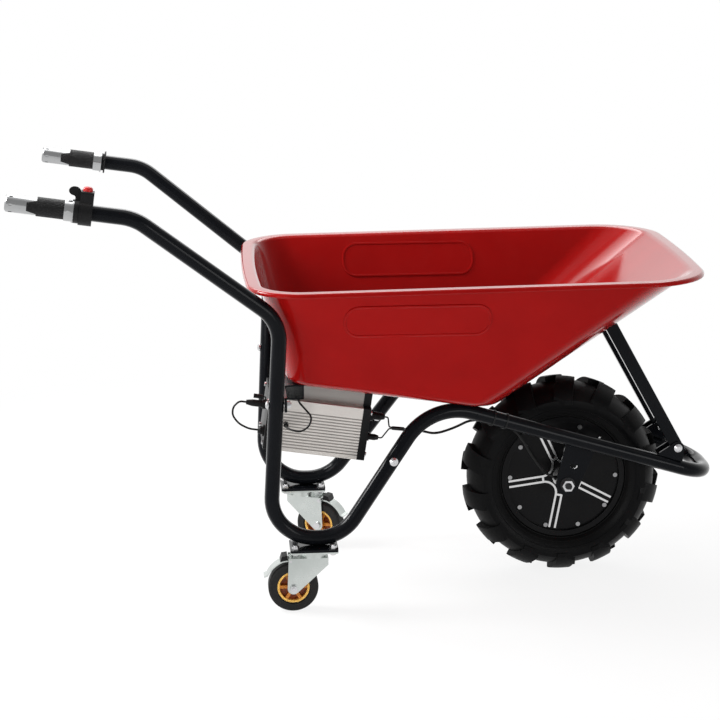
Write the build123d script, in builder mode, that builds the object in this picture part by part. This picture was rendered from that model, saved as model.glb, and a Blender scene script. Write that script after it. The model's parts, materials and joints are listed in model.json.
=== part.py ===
import math
import os

from build123d import *

os.makedirs("parts", exist_ok=True)

# Overall sizes in millimetres. Forward is +X, up is +Z, the ground is Z = 0.
# Setbacks run rearward from the drive axle, half widths outward from the middle.
handle_reach = 1096.0
nose_reach = 311.0
axle_x = (handle_reach - nose_reach) / 2
wheel_radius = 208.0

# Frame tube and its bends
tube_diameter = 30.0
tube_wall = 2.0
shoulder_bend = 120.0
nose_bend = 72.0
loop_steps = 400
tube_radius = tube_diameter / 2
tube_bore = tube_diameter - 2 * tube_wall

# Corners of the handle tubes and of the front loop
caster_height = 128.0
mount_plate_thickness = 5.0
foot_height = caster_height + mount_plate_thickness + tube_radius
foot_half_width = 206.0
front_foot_setback = 471.0
foot_length = 143.0
rear_foot_setback = front_foot_setback + foot_length
handle_bend = 0.6 * foot_length
knee_setback = 591.0
knee_half_width = 265.0
knee_height = 602.0
elbow_setback = 859.0
elbow_height = 815.0
grip_half_width = 321.0
grip_rise = 8.3
tube_end_setback = 936.0
shoulder_setback = 288.0
shoulder_half_width = 154.0
shoulder_height = 407.0
nose_half_width = 80.0
nose_height = 217.0

# Sleeve joint between handle tubes and loop
joint_height = 272.0
spigot_length = 60.0
spigot_shoulder = 6.0
sleeve_clearance = 0.15
joint_bolt_step = 27.0

# Shared fastener sizes
bolt_diameter = 8.0
bolt_clearance = 0.3
bolt_head_diameter = 17.0
bolt_head_height = 5.5
bolt_head_rim = 2.2
nut_across_corners = 15.0
nut_height = 6.5
bolt_tail = 2.0
flush_head_depth = 3.2
rest_gap = 0.3

# Tray
floor_tilt = 8.5
floor_length = 385.0
floor_width = 352.0
floor_mid_setback = 341.5
floor_bow = 10.0
floor_front_corner = 60.0
floor_rear_corner = 34.0
rim_length = 903.0
rim_width = 644.0
rim_mid_setback = 205.5
rim_mid_height = 669.5
rim_tilt = 0.7
rim_bow = 11.0
rim_front_corner = 130.0
rim_rear_corner = 109.0
flange_width = 25.0
lip_depth = 8.0
tray_wall = 4.0
wall_inset = 1.2 * tray_wall
tray_fillet = 14.0
panel_length = 284.0
panel_height = 68.0
panel_corner = 30.0
panel_rise = 1.2
panel_setback = 326.5
panel_mid_height = 595.0

# Front stay and its brackets on the loop
stay_section = 25.0
stay_wall = 2.0
stay_half_spacing = 84.0
stay_bolt_setback = -213.0
stay_bolt_lift = 25.0
stay_foot = 13.0
stay_lean = 29.0
stay_corner = 2.5
stay_plate_thickness = 5.0
stay_plate_length = 46.0
stay_plate_overhang = 8.0
stay_plate_corner = 6.0
bracket_plate = 4.0
bracket_length = 52.0
bracket_setback = 8.0
bracket_ear_radius = 13.0
side_clearance = 0.4

# Bolts of the tray
front_bolt_half_spacing = 36.0
hanger_bolt_half_spacing = 36.0

# Axle brackets on the loop
axle_bracket_inner = 86.0
axle_bracket_plate = 6.0
axle_bracket_top_width = 64.0
axle_bracket_end_radius = 24.0
bracket_slot_length = 18.0
bracket_slot_width = 8.0
bracket_slot_rise = 40.0

# Rear cross bar
cross_bar_plate = 5.0
cross_bar_overhang = 10.0
cross_bar_corner = 6.0
cross_block_corner = 2.0
cross_block_depth = 38.0
cross_block_half_length = 150.0
cross_block_wall = 3.0
case_clearance = 15.0

# Power unit below the tray
hanger_height = 51.0
hanger_width = 120.0
hanger_front_setback = 409.0
hanger_wall = 4.0
case_length = 176.0
case_width = 160.0
case_height = 110.0
case_wall = 5.0
case_corner = 3.0
screw_port = 13.0
end_plate_thickness = 16.0
plate_screw_diameter = 5.0
plate_screw_length = 34.0
screw_head_diameter = 9.0
screw_head_height = 3.5
groove_count = 13
groove_pitch = 6.2
groove_width = 2.6
groove_depth = 1.6
groove_start = 10.0
pack_height = 60.0
controller_height = 34.0
inner_clearance = 0.8

# Handles
grip_bar_diameter = 22.0
grip_bar_insert = 40.0
throttle_width = 34.0
collar_width = 8.0
collar_diameter = 36.0
collar_disc_diameter = 46.0
collar_disc_width = 3.0
clamp_width = 17.0
clamp_diameter = 40.0
clamp_flange_diameter = 44.0
clamp_flange_width = 3.0
set_screw_diameter = 6.0
set_screw_height = 1.2
grip_diameter = 36.0
tongue_length = 18.0
tongue_tip_height = 16.0
tongue_root_height = 25.0
grip_end_diameter = 33.0
grip_end_length = 40.0
grip_end_cap = 4.0
grip_end_chamfer = 3.0
grip_slot_count = 6
grip_slot_width = 4.0
grip_slot_length = 7.0
grip_slot_depth = 2.5
grip_slot_setback = 10.5
bar_clearance = 0.1

# Thumb throttle
housing_diameter = 49.0
module_width = 28.0
module_rise = 40.0
module_corner = 4.0
button_diameter = 18.0
button_height = 8.0
button_stem = 6.0
button_travel = 2.0
button_edge = 5.0
paddle_width = 9.0
paddle_ring_diameter = 44.0
paddle_head_rise = 37.0
paddle_head_length = 22.0
paddle_head_height = 17.0
paddle_thickness = 12.0
paddle_bend = 4.0
paddle_angle = 100.0
moving_gap = 0.4

# Drive wheel
tyre_half_width = 61.0
tyre_wall = 8.0
tread_depth = 12.0
shoulder_share = 0.4
lug_count = 14
lug_width = 38.0
lug_slant = 14.0
lug_gap = 3.0
lug_stagger = 0.26
sidewall_step = 3.0
rim_flange_radius = 128.0
rim_seat_radius = 121.0
rim_half_width = 38.0
rim_flange_thickness = 5.0
rim_well_radius = 112.0
rim_well_half_width = 16.0
cover_face = 31.0
cover_thickness = 6.0
cover_radius = 117.0
screw_circle = 110.0
screw_count = 10
screw_diameter = 5.0
screw_length = 16.0
rib_height = 2.0
rib_width = 4.2
spoke_count = 5
spoke_angle = 43.6
spoke_half_gap = 6.0
spoke_inner = 41.0
spoke_outer = 113.0
valley_bend = 24.0
boss_radius = 22.0
axle_radius = 8.5
axle_thread_radius = 7.0
axle_flat = 5.0
axle_tail = 4.0
axle_nut_across_corners = 25.0
axle_nut_height = 11.0
axle_washer_radius = 15.0
axle_washer_thickness = 2.5
bearing_outer_radius = 17.5
bearing_width = 10.0
bearing_lip = 3.0
running_clearance = 0.05
stator_radius = 84.0
stator_half_width = 17.0
stator_slot_count = 18
stator_slot_width = 7.0
stator_slot_depth = 20.0
air_gap = 1.0
magnet_thickness = 5.0

# Casters
caster_setback = 528.0
caster_wheel_radius = 50.0
caster_wheel_width = 32.0
caster_trail = 41.5
plate_length = 95.0
plate_width = 72.0
plate_corner = 5.0
plate_hole_length = 74.0
plate_hole_width = 50.0
caster_plate_thickness = 3.0
race_radius = 27.0
race_depth = 5.0
dish_inset = 2.0
fork_plate = 3.0
fork_clearance = 2.5
fork_nose = 28.0
fork_eye = 12.0
fork_tail = 9.0
fork_shoulder = 14.0
wheel_headroom = 9.0
king_pin_radius = 5.0
king_pin_head = 9.0
king_pin_head_height = 3.5
caster_axle_radius = 4.0
caster_bolt_head = 7.0
caster_bolt_head_height = 4.5
caster_hub_radius = 11.0
caster_core_radius = 34.0
caster_core_band = 6.0
caster_spoke_count = 6
caster_spoke_width = 6.0
caster_web = 22.0
caster_web_wall = 4.0
caster_tread_edge = 6.0
pedal_thickness = 2.5
pedal_gap = 6.0
pedal_width = 28.0
pedal_start = 26.0
pedal_end = 70.0
pedal_lip = 7.0
pedal_lip_turn = 45.0
pedal_pin_radius = 2.5
pedal_pin_drop = 6.0
pedal_pin_setback = 5.0
pedal_eye_radius = 4.0
pedal_tab_start = 5.0
pedal_tab_length = 16.0
pedal_tab_height = 10.0
right_heading = 180.0
left_heading = -25.0

# Leads and plugs
motor_lead_diameter = 5.0
branch_lead_diameter = 3.0
control_lead_diameter = 4.0
plug_offset = 45.0
upper_plug_drop = 22.0
lower_plug_drop = 67.0
upper_plug_diameter = 16.0
upper_plug_length = 33.0
lower_plug_diameter = 13.0
lower_plug_length = 26.0
plug_collar_ratio = 1.4
plug_body_share = 0.7
rear_plug_offset = 54.0
rear_plug_drop = 23.0
rear_plug_diameter = 14.0
rear_plug_length = 44.0
rear_socket_drop = 78.0
rear_socket_diameter = 17.0
rear_socket_length = 13.0
plug_cap_diameter = 9.0
plug_cap_length = 18.0
plug_cap_lift = 15.0
plug_strap_diameter = 2.5
plug_strap_length = 7.0
gland_diameter = 10.0
gland_length = 12.0
gland_drop = 52.0
gland_setback = 24.0
sleeve_diameter = 8.0
sleeve_length = 24.0
sleeve_setback = 346.0
sleeve_half_width = 65.0
sleeve_height = 328.5
sleeve_turn = -23.0
axle_gland_width = 12.0
axle_gland_radius = 13.0
axle_gland_reach = 26.0
axle_gland_angle = 155.0
axle_gland_face = 70.0
lead_exit = 16.0
lead_bend_share = 0.45
lead_hang_angle = 37.0
control_end_offset = 105.0
branch_exit = 7.0
tie_width = 3.5
tie_thickness = 1.2
tie_setbacks = (138.0, 164.0)


def save(piece, name):
    piece.part.label = name
    export_step(piece.part, f"parts/{name}.step")


def station(setback, half_width, height, side=1):
    return Vector(axle_x - setback, side * half_width, height)


def swept_tube(points, radii, outside, inside):
    with BuildPart() as tube:
        with BuildLine() as route:
            FilletPolyline(*points, radius=radii)
        with BuildSketch(Plane(route.line @ 0, z_dir=route.line % 0)):
            Circle(outside / 2)
            if inside > 0:
                Circle(inside / 2, mode=Mode.SUBTRACT)
        sweep()
    return tube


def shank(plane, length, radius):
    with Locations(plane):
        Cylinder(radius, length, align=(Align.CENTER, Align.CENTER, Align.MIN))


def taper(plane, length, near_radius, far_radius, mode=Mode.ADD):
    with Locations(plane):
        Cone(near_radius, far_radius, length, align=(Align.CENTER, Align.CENTER, Align.MIN), mode=mode)


def dome_head(plane):
    # Low domed head that stands on the plane
    shank(plane, bolt_head_rim, bolt_head_diameter / 2)
    dome_height = bolt_head_height - bolt_head_rim
    taper(plane.offset(bolt_head_rim), dome_height, bolt_head_diameter / 2, bolt_head_diameter / 4)


def nut(plane, height, across_corners, bore_radius):
    with BuildSketch(plane) as outline:
        RegularPolygon(across_corners / 2, 6)
        Circle(bore_radius + running_clearance, mode=Mode.SUBTRACT)
    extrude(outline.sketch, amount=height)


def bolt_and_nut(plane, grip):
    # Domed head on the plane, shank down through the grip, nut on its far side
    dome_head(plane)
    shank(plane.offset(-grip - nut_height - bolt_tail), grip + nut_height + bolt_tail, bolt_diameter / 2)
    nut(plane.offset(-grip - nut_height), nut_height, nut_across_corners, bolt_diameter / 2)


def flush_head(plane, mode=Mode.ADD):
    # Countersunk head level with the plane, or the seat for one
    foot_radius = bolt_diameter / 2
    rim_radius = foot_radius + flush_head_depth
    taper(plane.offset(-flush_head_depth), flush_head_depth, foot_radius, rim_radius, mode)


def flush_bolt_and_nut(plane, grip):
    flush_head(plane)
    shank(plane.offset(-grip - nut_height - bolt_tail), grip + nut_height + bolt_tail, bolt_diameter / 2)
    nut(plane.offset(-grip - nut_height), nut_height, nut_across_corners, bolt_diameter / 2)


def bolt_hole(plane, depth):
    with Locations(plane):
        Cylinder(bolt_diameter / 2 + bolt_clearance, depth, mode=Mode.SUBTRACT)


# Corner points of the tubes on one side, right is -1 and left is +1
def front_foot(side):
    return station(front_foot_setback, foot_half_width, foot_height, side)


def rear_foot(side):
    return station(rear_foot_setback, foot_half_width, foot_height, side)


def knee(side):
    return station(knee_setback, knee_half_width, knee_height, side)


def elbow(side):
    return station(elbow_setback, grip_half_width, elbow_height, side)


def shoulder(side):
    return station(shoulder_setback, shoulder_half_width, shoulder_height, side)


def nose(side):
    return station(tube_radius - nose_reach, nose_half_width, nose_height, side)


def along(start, end, height):
    # Point of the straight run from start to end at the given height
    return start + (end - start) * ((height - start.Z) / (end.Z - start.Z))


def joint(side):
    return along(front_foot(side), shoulder(side), joint_height)


def joint_axis(side):
    return (shoulder(side) - front_foot(side)).normalized()


def across(direction, side):
    # Outward direction square to a tube
    outward = Vector(0, side, 0)
    return (outward - direction * outward.dot(direction)).normalized()


grip_direction = Vector(-math.cos(math.radians(grip_rise)), 0, math.sin(math.radians(grip_rise)))


def tube_end(side):
    return elbow(side) + grip_direction * ((tube_end_setback - elbow_setback) / -grip_direction.X)


def grip_plane(side, step):
    # Square to the grip bar, step measured from the end of the tube, local Y upward
    return Plane(tube_end(side) + grip_direction * step, x_dir=(0, -1, 0), z_dir=grip_direction)


def joint_bolt_plane(side):
    centre = joint(side) + joint_axis(side) * joint_bolt_step
    outward = across(joint_axis(side), side)
    return Plane(centre + outward * tube_radius, x_dir=joint_axis(side), z_dir=outward)


grip_overhang = (grip_end_diameter / 2 - grip_end_chamfer) * grip_direction.Z
grip_bar_length = (handle_reach - grip_overhang - tube_end_setback) / -grip_direction.X

# Corners and bends of the front loop, from its right joint round the nose to its left joint
loop_corners = [joint(-1), shoulder(-1), nose(-1), nose(1), shoulder(1), joint(1)]
loop_bends = [shoulder_bend, nose_bend, nose_bend, shoulder_bend]
with BuildLine() as loop_route:
    FilletPolyline(*loop_corners, radius=loop_bends)

# The tray floor rests on the highest stretch of the loop, seen square to the floor
floor_normal = Vector(math.sin(math.radians(floor_tilt)), 0, math.cos(math.radians(floor_tilt)))
floor_forward = Vector(math.cos(math.radians(floor_tilt)), 0, -math.sin(math.radians(floor_tilt)))
loop_points = [loop_route.line @ (step / loop_steps) for step in range(loop_steps + 1)]
loop_top = max(point.dot(floor_normal) for point in loop_points)
floor_level = loop_top + tube_radius + rest_gap


def floor_point(setback):
    x = axle_x - setback
    return Vector(x, 0, (floor_level - x * floor_normal.X) / floor_normal.Z)


floor_plane = Plane(floor_point(floor_mid_setback), x_dir=floor_forward, z_dir=floor_normal)
rim_forward = Vector(math.cos(math.radians(rim_tilt)), 0, math.sin(math.radians(rim_tilt)))
rim_plane = Plane(
    (axle_x - rim_mid_setback, 0, rim_mid_height),
    x_dir=rim_forward,
    z_dir=(-rim_forward.Z, 0, rim_forward.X),
)

# Rear cross bar: against the front of both legs, between the tray floor and the power unit
leg_run = (knee(1) - rear_foot(1)).normalized()
leg_lean = leg_run.X / leg_run.Z
leg_half_depth = tube_radius * math.hypot(1, leg_lean)
cross_bar_top = floor_point(floor_mid_setback + floor_length / 2).Z
cross_bar_rear = along(rear_foot(1), knee(1), cross_bar_top).X + leg_half_depth
cross_bar_bottom = floor_point(axle_x - cross_bar_rear).Z - hanger_height / floor_normal.Z + case_clearance
cross_bar_height = cross_bar_top - cross_bar_bottom
cross_bar_mid = (cross_bar_top + cross_bar_bottom) / 2
leg_at_bar = along(rear_foot(1), knee(1), cross_bar_mid)
cross_block_rear = cross_bar_rear + cross_bar_plate
cross_block_front = cross_block_rear + cross_block_depth
cross_bolt_x = leg_at_bar.X - leg_half_depth - leg_lean * bolt_head_diameter / 2


def cross_bolt_plane(side):
    return Plane((cross_bolt_x, side * leg_at_bar.Y, cross_bar_mid), x_dir=(0, 1, 0), z_dir=(-1, 0, 0))


# Handle tubes with the reduced end that enters the loop
for side, name in ((-1, "right"), (1, "left")):
    corners = [joint(side), front_foot(side), rear_foot(side), knee(side), elbow(side), tube_end(side)]
    bends = [handle_bend] * 4
    handle_tube = swept_tube(corners, bends, tube_diameter, tube_bore)
    spigot_radius = tube_bore / 2 - sleeve_clearance
    with handle_tube:
        spigot_plane = Plane(joint(side), z_dir=joint_axis(side))
        with BuildSketch(spigot_plane) as shoulder_ring:
            Circle(tube_radius - tube_wall / 2)
            Circle(spigot_radius - tube_wall, mode=Mode.SUBTRACT)
        extrude(shoulder_ring.sketch, amount=-spigot_shoulder)
        with BuildSketch(spigot_plane) as spigot_ring:
            Circle(spigot_radius)
            Circle(spigot_radius - tube_wall, mode=Mode.SUBTRACT)
        extrude(spigot_ring.sketch, amount=spigot_length)
        bolt_hole(joint_bolt_plane(side), 3 * tube_diameter)
        bolt_hole(cross_bolt_plane(side), 3 * tube_diameter)
    save(handle_tube, f"{name}_handle_tube")

# Front loop
front_loop = swept_tube(loop_corners, loop_bends, tube_diameter, tube_bore)
with front_loop:
    for side in (-1, 1):
        bolt_hole(joint_bolt_plane(side), 3 * tube_diameter)
save(front_loop, "front_loop")

# Plates under the feet of the handle tubes
caster_x = axle_x - caster_setback
with BuildPart() as caster_mount_plates:
    for side in (-1, 1):
        with BuildSketch(Plane((caster_x, side * foot_half_width, caster_height))) as plate:
            RectangleRounded(plate_length, plate_width, plate_corner)
            with GridLocations(plate_hole_length, plate_hole_width, 2, 2):
                Circle(bolt_diameter / 2 + bolt_clearance, mode=Mode.SUBTRACT)
        extrude(plate.sketch, amount=mount_plate_thickness)
save(caster_mount_plates, "caster_mount_plates")

# Rear cross bar: flat bar on the legs and a box section below the tray
with BuildPart() as rear_cross_bar:
    bar_half_length = leg_at_bar.Y + cross_bar_overhang
    with BuildSketch(Plane((cross_bar_rear, 0, cross_bar_mid), x_dir=(0, 1, 0), z_dir=(1, 0, 0))):
        RectangleRounded(2 * bar_half_length, cross_bar_height, cross_bar_corner)
    extrude(amount=cross_bar_plate)
    block_mid = cross_block_rear + cross_block_depth / 2
    with BuildSketch(Plane((block_mid, 0, cross_bar_mid), x_dir=(1, 0, 0), z_dir=(0, -1, 0))):
        RectangleRounded(cross_block_depth, cross_bar_height, cross_block_corner)
        Rectangle(
            cross_block_depth - 2 * cross_block_wall,
            cross_bar_height - 2 * cross_block_wall,
            mode=Mode.SUBTRACT,
        )
    extrude(amount=cross_block_half_length, both=True)
    for side in (-1, 1):
        bolt_hole(cross_bolt_plane(side), 6 * tube_diameter)
save(rear_cross_bar, "rear_cross_bar")

# Axle brackets: tapered plates that hang from the loop, cut to its tube
rail_run = (nose(1) - shoulder(1)).normalized()
rail_down = Vector(rail_run.Z, 0, -rail_run.X).normalized()
rail_forward = Vector(rail_run.X, 0, rail_run.Z).normalized()
wheel_centre = Vector(axle_x, 0, wheel_radius)


def rail_point(x, side):
    start = shoulder(side)
    end = nose(side)
    return start + (end - start) * ((x - start.X) / (end.X - start.X))


def axle_slot_outline():
    # Round hole with two flats that keeps the axle from turning
    with BuildSketch() as outline:
        Circle(axle_thread_radius + bolt_clearance)
        Rectangle(4 * axle_thread_radius, 2 * (axle_flat + bolt_clearance), mode=Mode.INTERSECT)
    return outline.sketch


bracket_side_plane = Plane(wheel_centre, x_dir=rail_forward, z_dir=(0, -1, 0))
rail_drop = (rail_point(axle_x, 1) - wheel_centre).dot(rail_down * -1)
with BuildPart() as axle_brackets:
    for side in (-1, 1):
        face = axle_bracket_inner if side < 0 else -axle_bracket_inner - axle_bracket_plate
        with BuildSketch(bracket_side_plane.offset(face)) as plate:
            Circle(axle_bracket_end_radius)
            with Locations((0, rail_drop)):
                Rectangle(axle_bracket_top_width, tube_radius)
            make_hull()
            add(axle_slot_outline(), mode=Mode.SUBTRACT)
            with Locations((0, bracket_slot_rise)):
                SlotOverall(bracket_slot_length, bracket_slot_width, mode=Mode.SUBTRACT)
        extrude(plate.sketch, amount=axle_bracket_plate)
    for side in (-1, 1):
        ends = [shoulder(side), nose(side)]
        with BuildSketch(Plane(ends[0], z_dir=ends[1] - ends[0])) as core:
            Circle(tube_radius)
        extrude(core.sketch, amount=(ends[1] - ends[0]).length, mode=Mode.SUBTRACT)
save(axle_brackets, "axle_brackets")


# Front stay: two square tubes lean back from the loop to a plate on the tray's front wall
rail_up = rail_down * -1
stay_run = Vector(-math.sin(math.radians(stay_lean)), 0, math.cos(math.radians(stay_lean)))
bracket_half_width = stay_section / 2 + side_clearance + bracket_plate


def stay_bolt_centre(side):
    above_rail = rail_point(axle_x - stay_bolt_setback, side) + rail_up * (tube_radius + stay_bolt_lift)
    return Vector(above_rail.X, side * stay_half_spacing, above_rail.Z)


def stay_bolt_plane(side):
    head = stay_bolt_centre(side) + Vector(0, side * bracket_half_width, 0)
    return Plane(head, x_dir=rail_forward, z_dir=(0, side, 0))


wall_foot = floor_plane.from_local_coords((floor_length / 2, 0, 0))
wall_top = rim_plane.from_local_coords((rim_length / 2 - flange_width, 0, 0))
wall_run = (wall_top - wall_foot).normalized()
wall_out = Vector(wall_run.Z, 0, -wall_run.X)
stay_start = stay_bolt_centre(1)
stay_length = (wall_foot + wall_out * rest_gap - stay_start).dot(wall_out) / stay_run.dot(wall_out)
stay_end = stay_start + stay_run * stay_length
stay_plate_plane = Plane((stay_end.X, 0, stay_end.Z), x_dir=wall_run, z_dir=wall_out)

with BuildPart() as stay_brackets:
    for side in (-1, 1):
        bracket_plane = Plane(stay_bolt_centre(side), x_dir=rail_forward, z_dir=(0, -1, 0))
        with BuildSketch(bracket_plane) as ear:
            Circle(bracket_ear_radius)
            with Locations((-bracket_setback, bracket_plate / 2 - stay_bolt_lift)):
                Rectangle(bracket_length, bracket_plate)
            make_hull()
        extrude(ear.sketch, amount=bracket_half_width, both=True)
        with BuildSketch(bracket_plane) as channel:
            with Locations((0, bracket_plate)):
                Rectangle(3 * bracket_length, 2 * stay_bolt_lift)
        extrude(channel.sketch, amount=stay_section / 2 + side_clearance, both=True, mode=Mode.SUBTRACT)
        bolt_hole(stay_bolt_plane(side), 4 * bracket_half_width)
save(stay_brackets, "stay_brackets")

with BuildPart() as front_stay:
    for side in (-1, 1):
        foot = stay_bolt_centre(side) - stay_run * stay_foot
        with BuildSketch(Plane(foot, x_dir=(0, 1, 0), z_dir=stay_run)) as section:
            RectangleRounded(stay_section, stay_section, stay_corner)
            Rectangle(stay_section - 2 * stay_wall, stay_section - 2 * stay_wall, mode=Mode.SUBTRACT)
        extrude(section.sketch, amount=stay_length + 2 * stay_plate_length)
    split(bisect_by=stay_plate_plane.offset(stay_plate_thickness), keep=Keep.TOP)
    with BuildSketch(stay_plate_plane) as plate:
        stay_plate_width = 2 * stay_half_spacing + stay_section + 2 * stay_plate_overhang
        RectangleRounded(stay_plate_length, stay_plate_width, stay_plate_corner)
        with GridLocations(0, 2 * front_bolt_half_spacing, 1, 2):
            Circle(bolt_diameter / 2 + bolt_clearance, mode=Mode.SUBTRACT)
    extrude(plate.sketch, amount=stay_plate_thickness)
    for side in (-1, 1):
        bolt_hole(stay_bolt_plane(side), 4 * bracket_half_width)
save(front_stay, "front_stay")

# Bolts of the frame, domed head outward
with BuildPart() as frame_bolts:
    for side in (-1, 1):
        bolt_and_nut(joint_bolt_plane(side), tube_diameter)
        bolt_and_nut(cross_bolt_plane(side), cross_block_rear - cross_bolt_x)
        bolt_and_nut(stay_bolt_plane(side), 2 * bracket_half_width)
save(frame_bolts, "frame_bolts")


# Tray: a tapered tub with bowed ends, a flat flange round its rim and a lip turned down
def tray_section(plane, length, width, bow, front_corner, rear_corner):
    with BuildSketch(plane) as section:
        with BuildLine():
            Line((bow - length / 2, -width / 2), (length / 2 - bow, -width / 2))
            ThreePointArc((length / 2 - bow, -width / 2), (length / 2, 0), (length / 2 - bow, width / 2))
            Line((length / 2 - bow, width / 2), (bow - length / 2, width / 2))
            ThreePointArc((bow - length / 2, width / 2), (-length / 2, 0), (bow - length / 2, -width / 2))
        make_face()
        fillet(section.vertices().sort_by(Axis.X)[2:], front_corner)
        fillet(section.vertices().sort_by(Axis.X)[:2], rear_corner)
    return section.sketch


mouth_length = rim_length - 2 * flange_width
mouth_width = rim_width - 2 * flange_width
floor_to_rim = rim_plane.origin - floor_plane.origin


def rim_section(inset):
    # Outline of the rim, moved inward
    return tray_section(
        rim_plane,
        rim_length - 2 * inset,
        rim_width - 2 * inset,
        rim_bow,
        rim_front_corner - inset,
        rim_rear_corner - inset,
    )


def floor_section(height, inset):
    # Outline of the walls at a height above the floor, moved inward
    share = height / floor_to_rim.dot(floor_normal)
    level = Plane(floor_plane.origin + floor_to_rim * share, x_dir=floor_forward, z_dir=floor_normal)
    return tray_section(
        level,
        floor_length + (mouth_length - floor_length) * share - 2 * inset,
        floor_width + (mouth_width - floor_width) * share - 2 * inset,
        floor_bow,
        floor_front_corner - inset,
        floor_rear_corner - inset,
    )


front_wall_thickness = wall_inset * wall_out.X
hanger_bolt_x = (axle_x - hanger_front_setback + cross_block_front) / 2


def front_bolt_plane(side):
    # On the inside of the front wall, facing into the tray
    head = stay_plate_plane.offset(-2 * rest_gap - front_wall_thickness)
    return Plane(head.from_local_coords((0, side * front_bolt_half_spacing, 0)), z_dir=wall_out * -1)


def hanger_bolt_plane(side):
    # On the tray floor, facing up
    head = floor_point(axle_x - hanger_bolt_x) + floor_normal * tray_wall
    return Plane(head + Vector(0, side * hanger_bolt_half_spacing, 0), z_dir=floor_normal)


with BuildPart() as tray_inside:
    inner_sections = [floor_section(tray_wall, wall_inset), rim_section(flange_width + wall_inset)]
    loft(sections=inner_sections, ruled=True)
    fillet(tray_inside.faces().sort_by(Axis.Z)[0].edges(), tray_fillet - tray_wall)

# Plain raised panel on both side walls
with BuildPart() as side_panels:
    loft(sections=[floor_section(0, -panel_rise), rim_section(flange_width - panel_rise)], ruled=True)
    panel_centre = (axle_x - panel_setback, 0, panel_mid_height)
    with BuildSketch(Plane(panel_centre, x_dir=(1, 0, 0), z_dir=(0, -1, 0))) as panel:
        RectangleRounded(panel_length, panel_height, panel_corner)
    extrude(panel.sketch, amount=rim_width, both=True, mode=Mode.INTERSECT)

with BuildPart() as tray:
    loft(sections=[floor_section(0, 0), rim_section(flange_width)], ruled=True)
    fillet(tray.faces().sort_by(Axis.Z)[0].edges(), tray_fillet)
    add(side_panels.part)
    extrude(rim_section(0), amount=-tray_wall)
    extrude(rim_section(0) - rim_section(tray_wall), amount=-lip_depth)
    add(tray_inside.part, mode=Mode.SUBTRACT)
    for side in (-1, 1):
        bolt_hole(front_bolt_plane(side), 6 * tray_wall)
        bolt_hole(hanger_bolt_plane(side), 6 * tray_wall)
        flush_head(hanger_bolt_plane(side), Mode.SUBTRACT)
save(tray, "tray")

with BuildPart() as tray_bolts:
    for side in (-1, 1):
        bolt_and_nut(front_bolt_plane(side), front_wall_thickness + 2 * rest_gap + stay_plate_thickness)
        flush_bolt_and_nut(hanger_bolt_plane(side), tray_wall + hanger_wall)
save(tray_bolts, "tray_bolts")


# Hanger: a flat box section between the tray floor and the power unit, behind it the cross bar
def under_floor(x, drop):
    return Vector(x, (floor_level - drop - x * floor_normal.X) / floor_normal.Z)


hanger_front = floor_point(hanger_front_setback)
hanger_heel = hanger_front - floor_normal * hanger_height
with BuildPart() as hanger:
    with BuildSketch(Plane.XZ) as side_view:
        with BuildLine():
            Polyline(
                (hanger_front.X, hanger_front.Z),
                under_floor(cross_block_front, 0),
                under_floor(cross_block_front, hanger_height),
                (hanger_heel.X, hanger_heel.Z),
                close=True,
            )
        make_face()
    extrude(side_view.sketch, amount=hanger_width / 2, both=True)
    hanger_front_plane = Plane(hanger_front, x_dir=(0, 1, 0), z_dir=floor_forward * -1)
    with BuildSketch(hanger_front_plane.offset(-hanger_width)) as opening:
        with Locations((0, hanger_height / 2)):
            Rectangle(hanger_width - 2 * hanger_wall, hanger_height - 2 * hanger_wall)
    extrude(opening.sketch, amount=4 * hanger_width, mode=Mode.SUBTRACT)
    for side in (-1, 1):
        bolt_hole(hanger_bolt_plane(side), 2 * (tray_wall + 2 * hanger_wall))
save(hanger, "hanger")

# Power unit: a ribbed case between two end plates, local X across, local Y down, local Z rearward
case_plane = Plane(hanger_heel, x_dir=(0, 1, 0), z_dir=floor_forward * -1)
cavity_width = case_width - 2 * case_wall
cavity_height = case_height - 2 * case_wall
port_spacing_x = cavity_width - screw_port
port_spacing_y = cavity_height - screw_port

with BuildPart() as battery_case:
    with BuildSketch(case_plane) as profile:
        with Locations((0, case_height / 2)):
            RectangleRounded(case_width, case_height, case_corner)
            Rectangle(cavity_width, cavity_height, mode=Mode.SUBTRACT)
            with GridLocations(port_spacing_x, port_spacing_y, 2, 2):
                Rectangle(screw_port, screw_port)
                Circle(plate_screw_diameter / 2 + running_clearance, mode=Mode.SUBTRACT)
        with Locations((0, case_height - groove_start - groove_pitch * (groove_count - 1) / 2)):
            with GridLocations(case_width, groove_pitch, 2, groove_count):
                Rectangle(2 * groove_depth, groove_width, mode=Mode.SUBTRACT)
    extrude(profile.sketch, amount=case_length)
save(battery_case, "battery_case")


def plate_outline(plane, neck):
    with BuildSketch(plane) as outline:
        with Locations((0, case_height / 2)):
            RectangleRounded(case_width, case_height, case_corner)
        if neck > 0:
            with Locations((0, -neck / 2)):
                Rectangle(hanger_width, neck)
            with Locations((0, case_corner)):
                Rectangle(hanger_width, 2 * case_corner)
        with Locations((0, case_height / 2)):
            with GridLocations(port_spacing_x, port_spacing_y, 2, 2):
                Circle(plate_screw_diameter / 2 + bolt_clearance, mode=Mode.SUBTRACT)
    return outline.sketch


with BuildPart() as front_end_plate:
    extrude(plate_outline(case_plane, hanger_height - rest_gap), amount=-end_plate_thickness)
save(front_end_plate, "front_end_plate")

with BuildPart() as rear_end_plate:
    extrude(plate_outline(case_plane.offset(case_length), 0), amount=end_plate_thickness)
save(rear_end_plate, "rear_end_plate")


def cap_screw(plane, length, diameter):
    # Round head on the plane, shank below it
    shank(plane, screw_head_height, screw_head_diameter / 2)
    shank(plane.offset(-length), length, diameter / 2)


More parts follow.
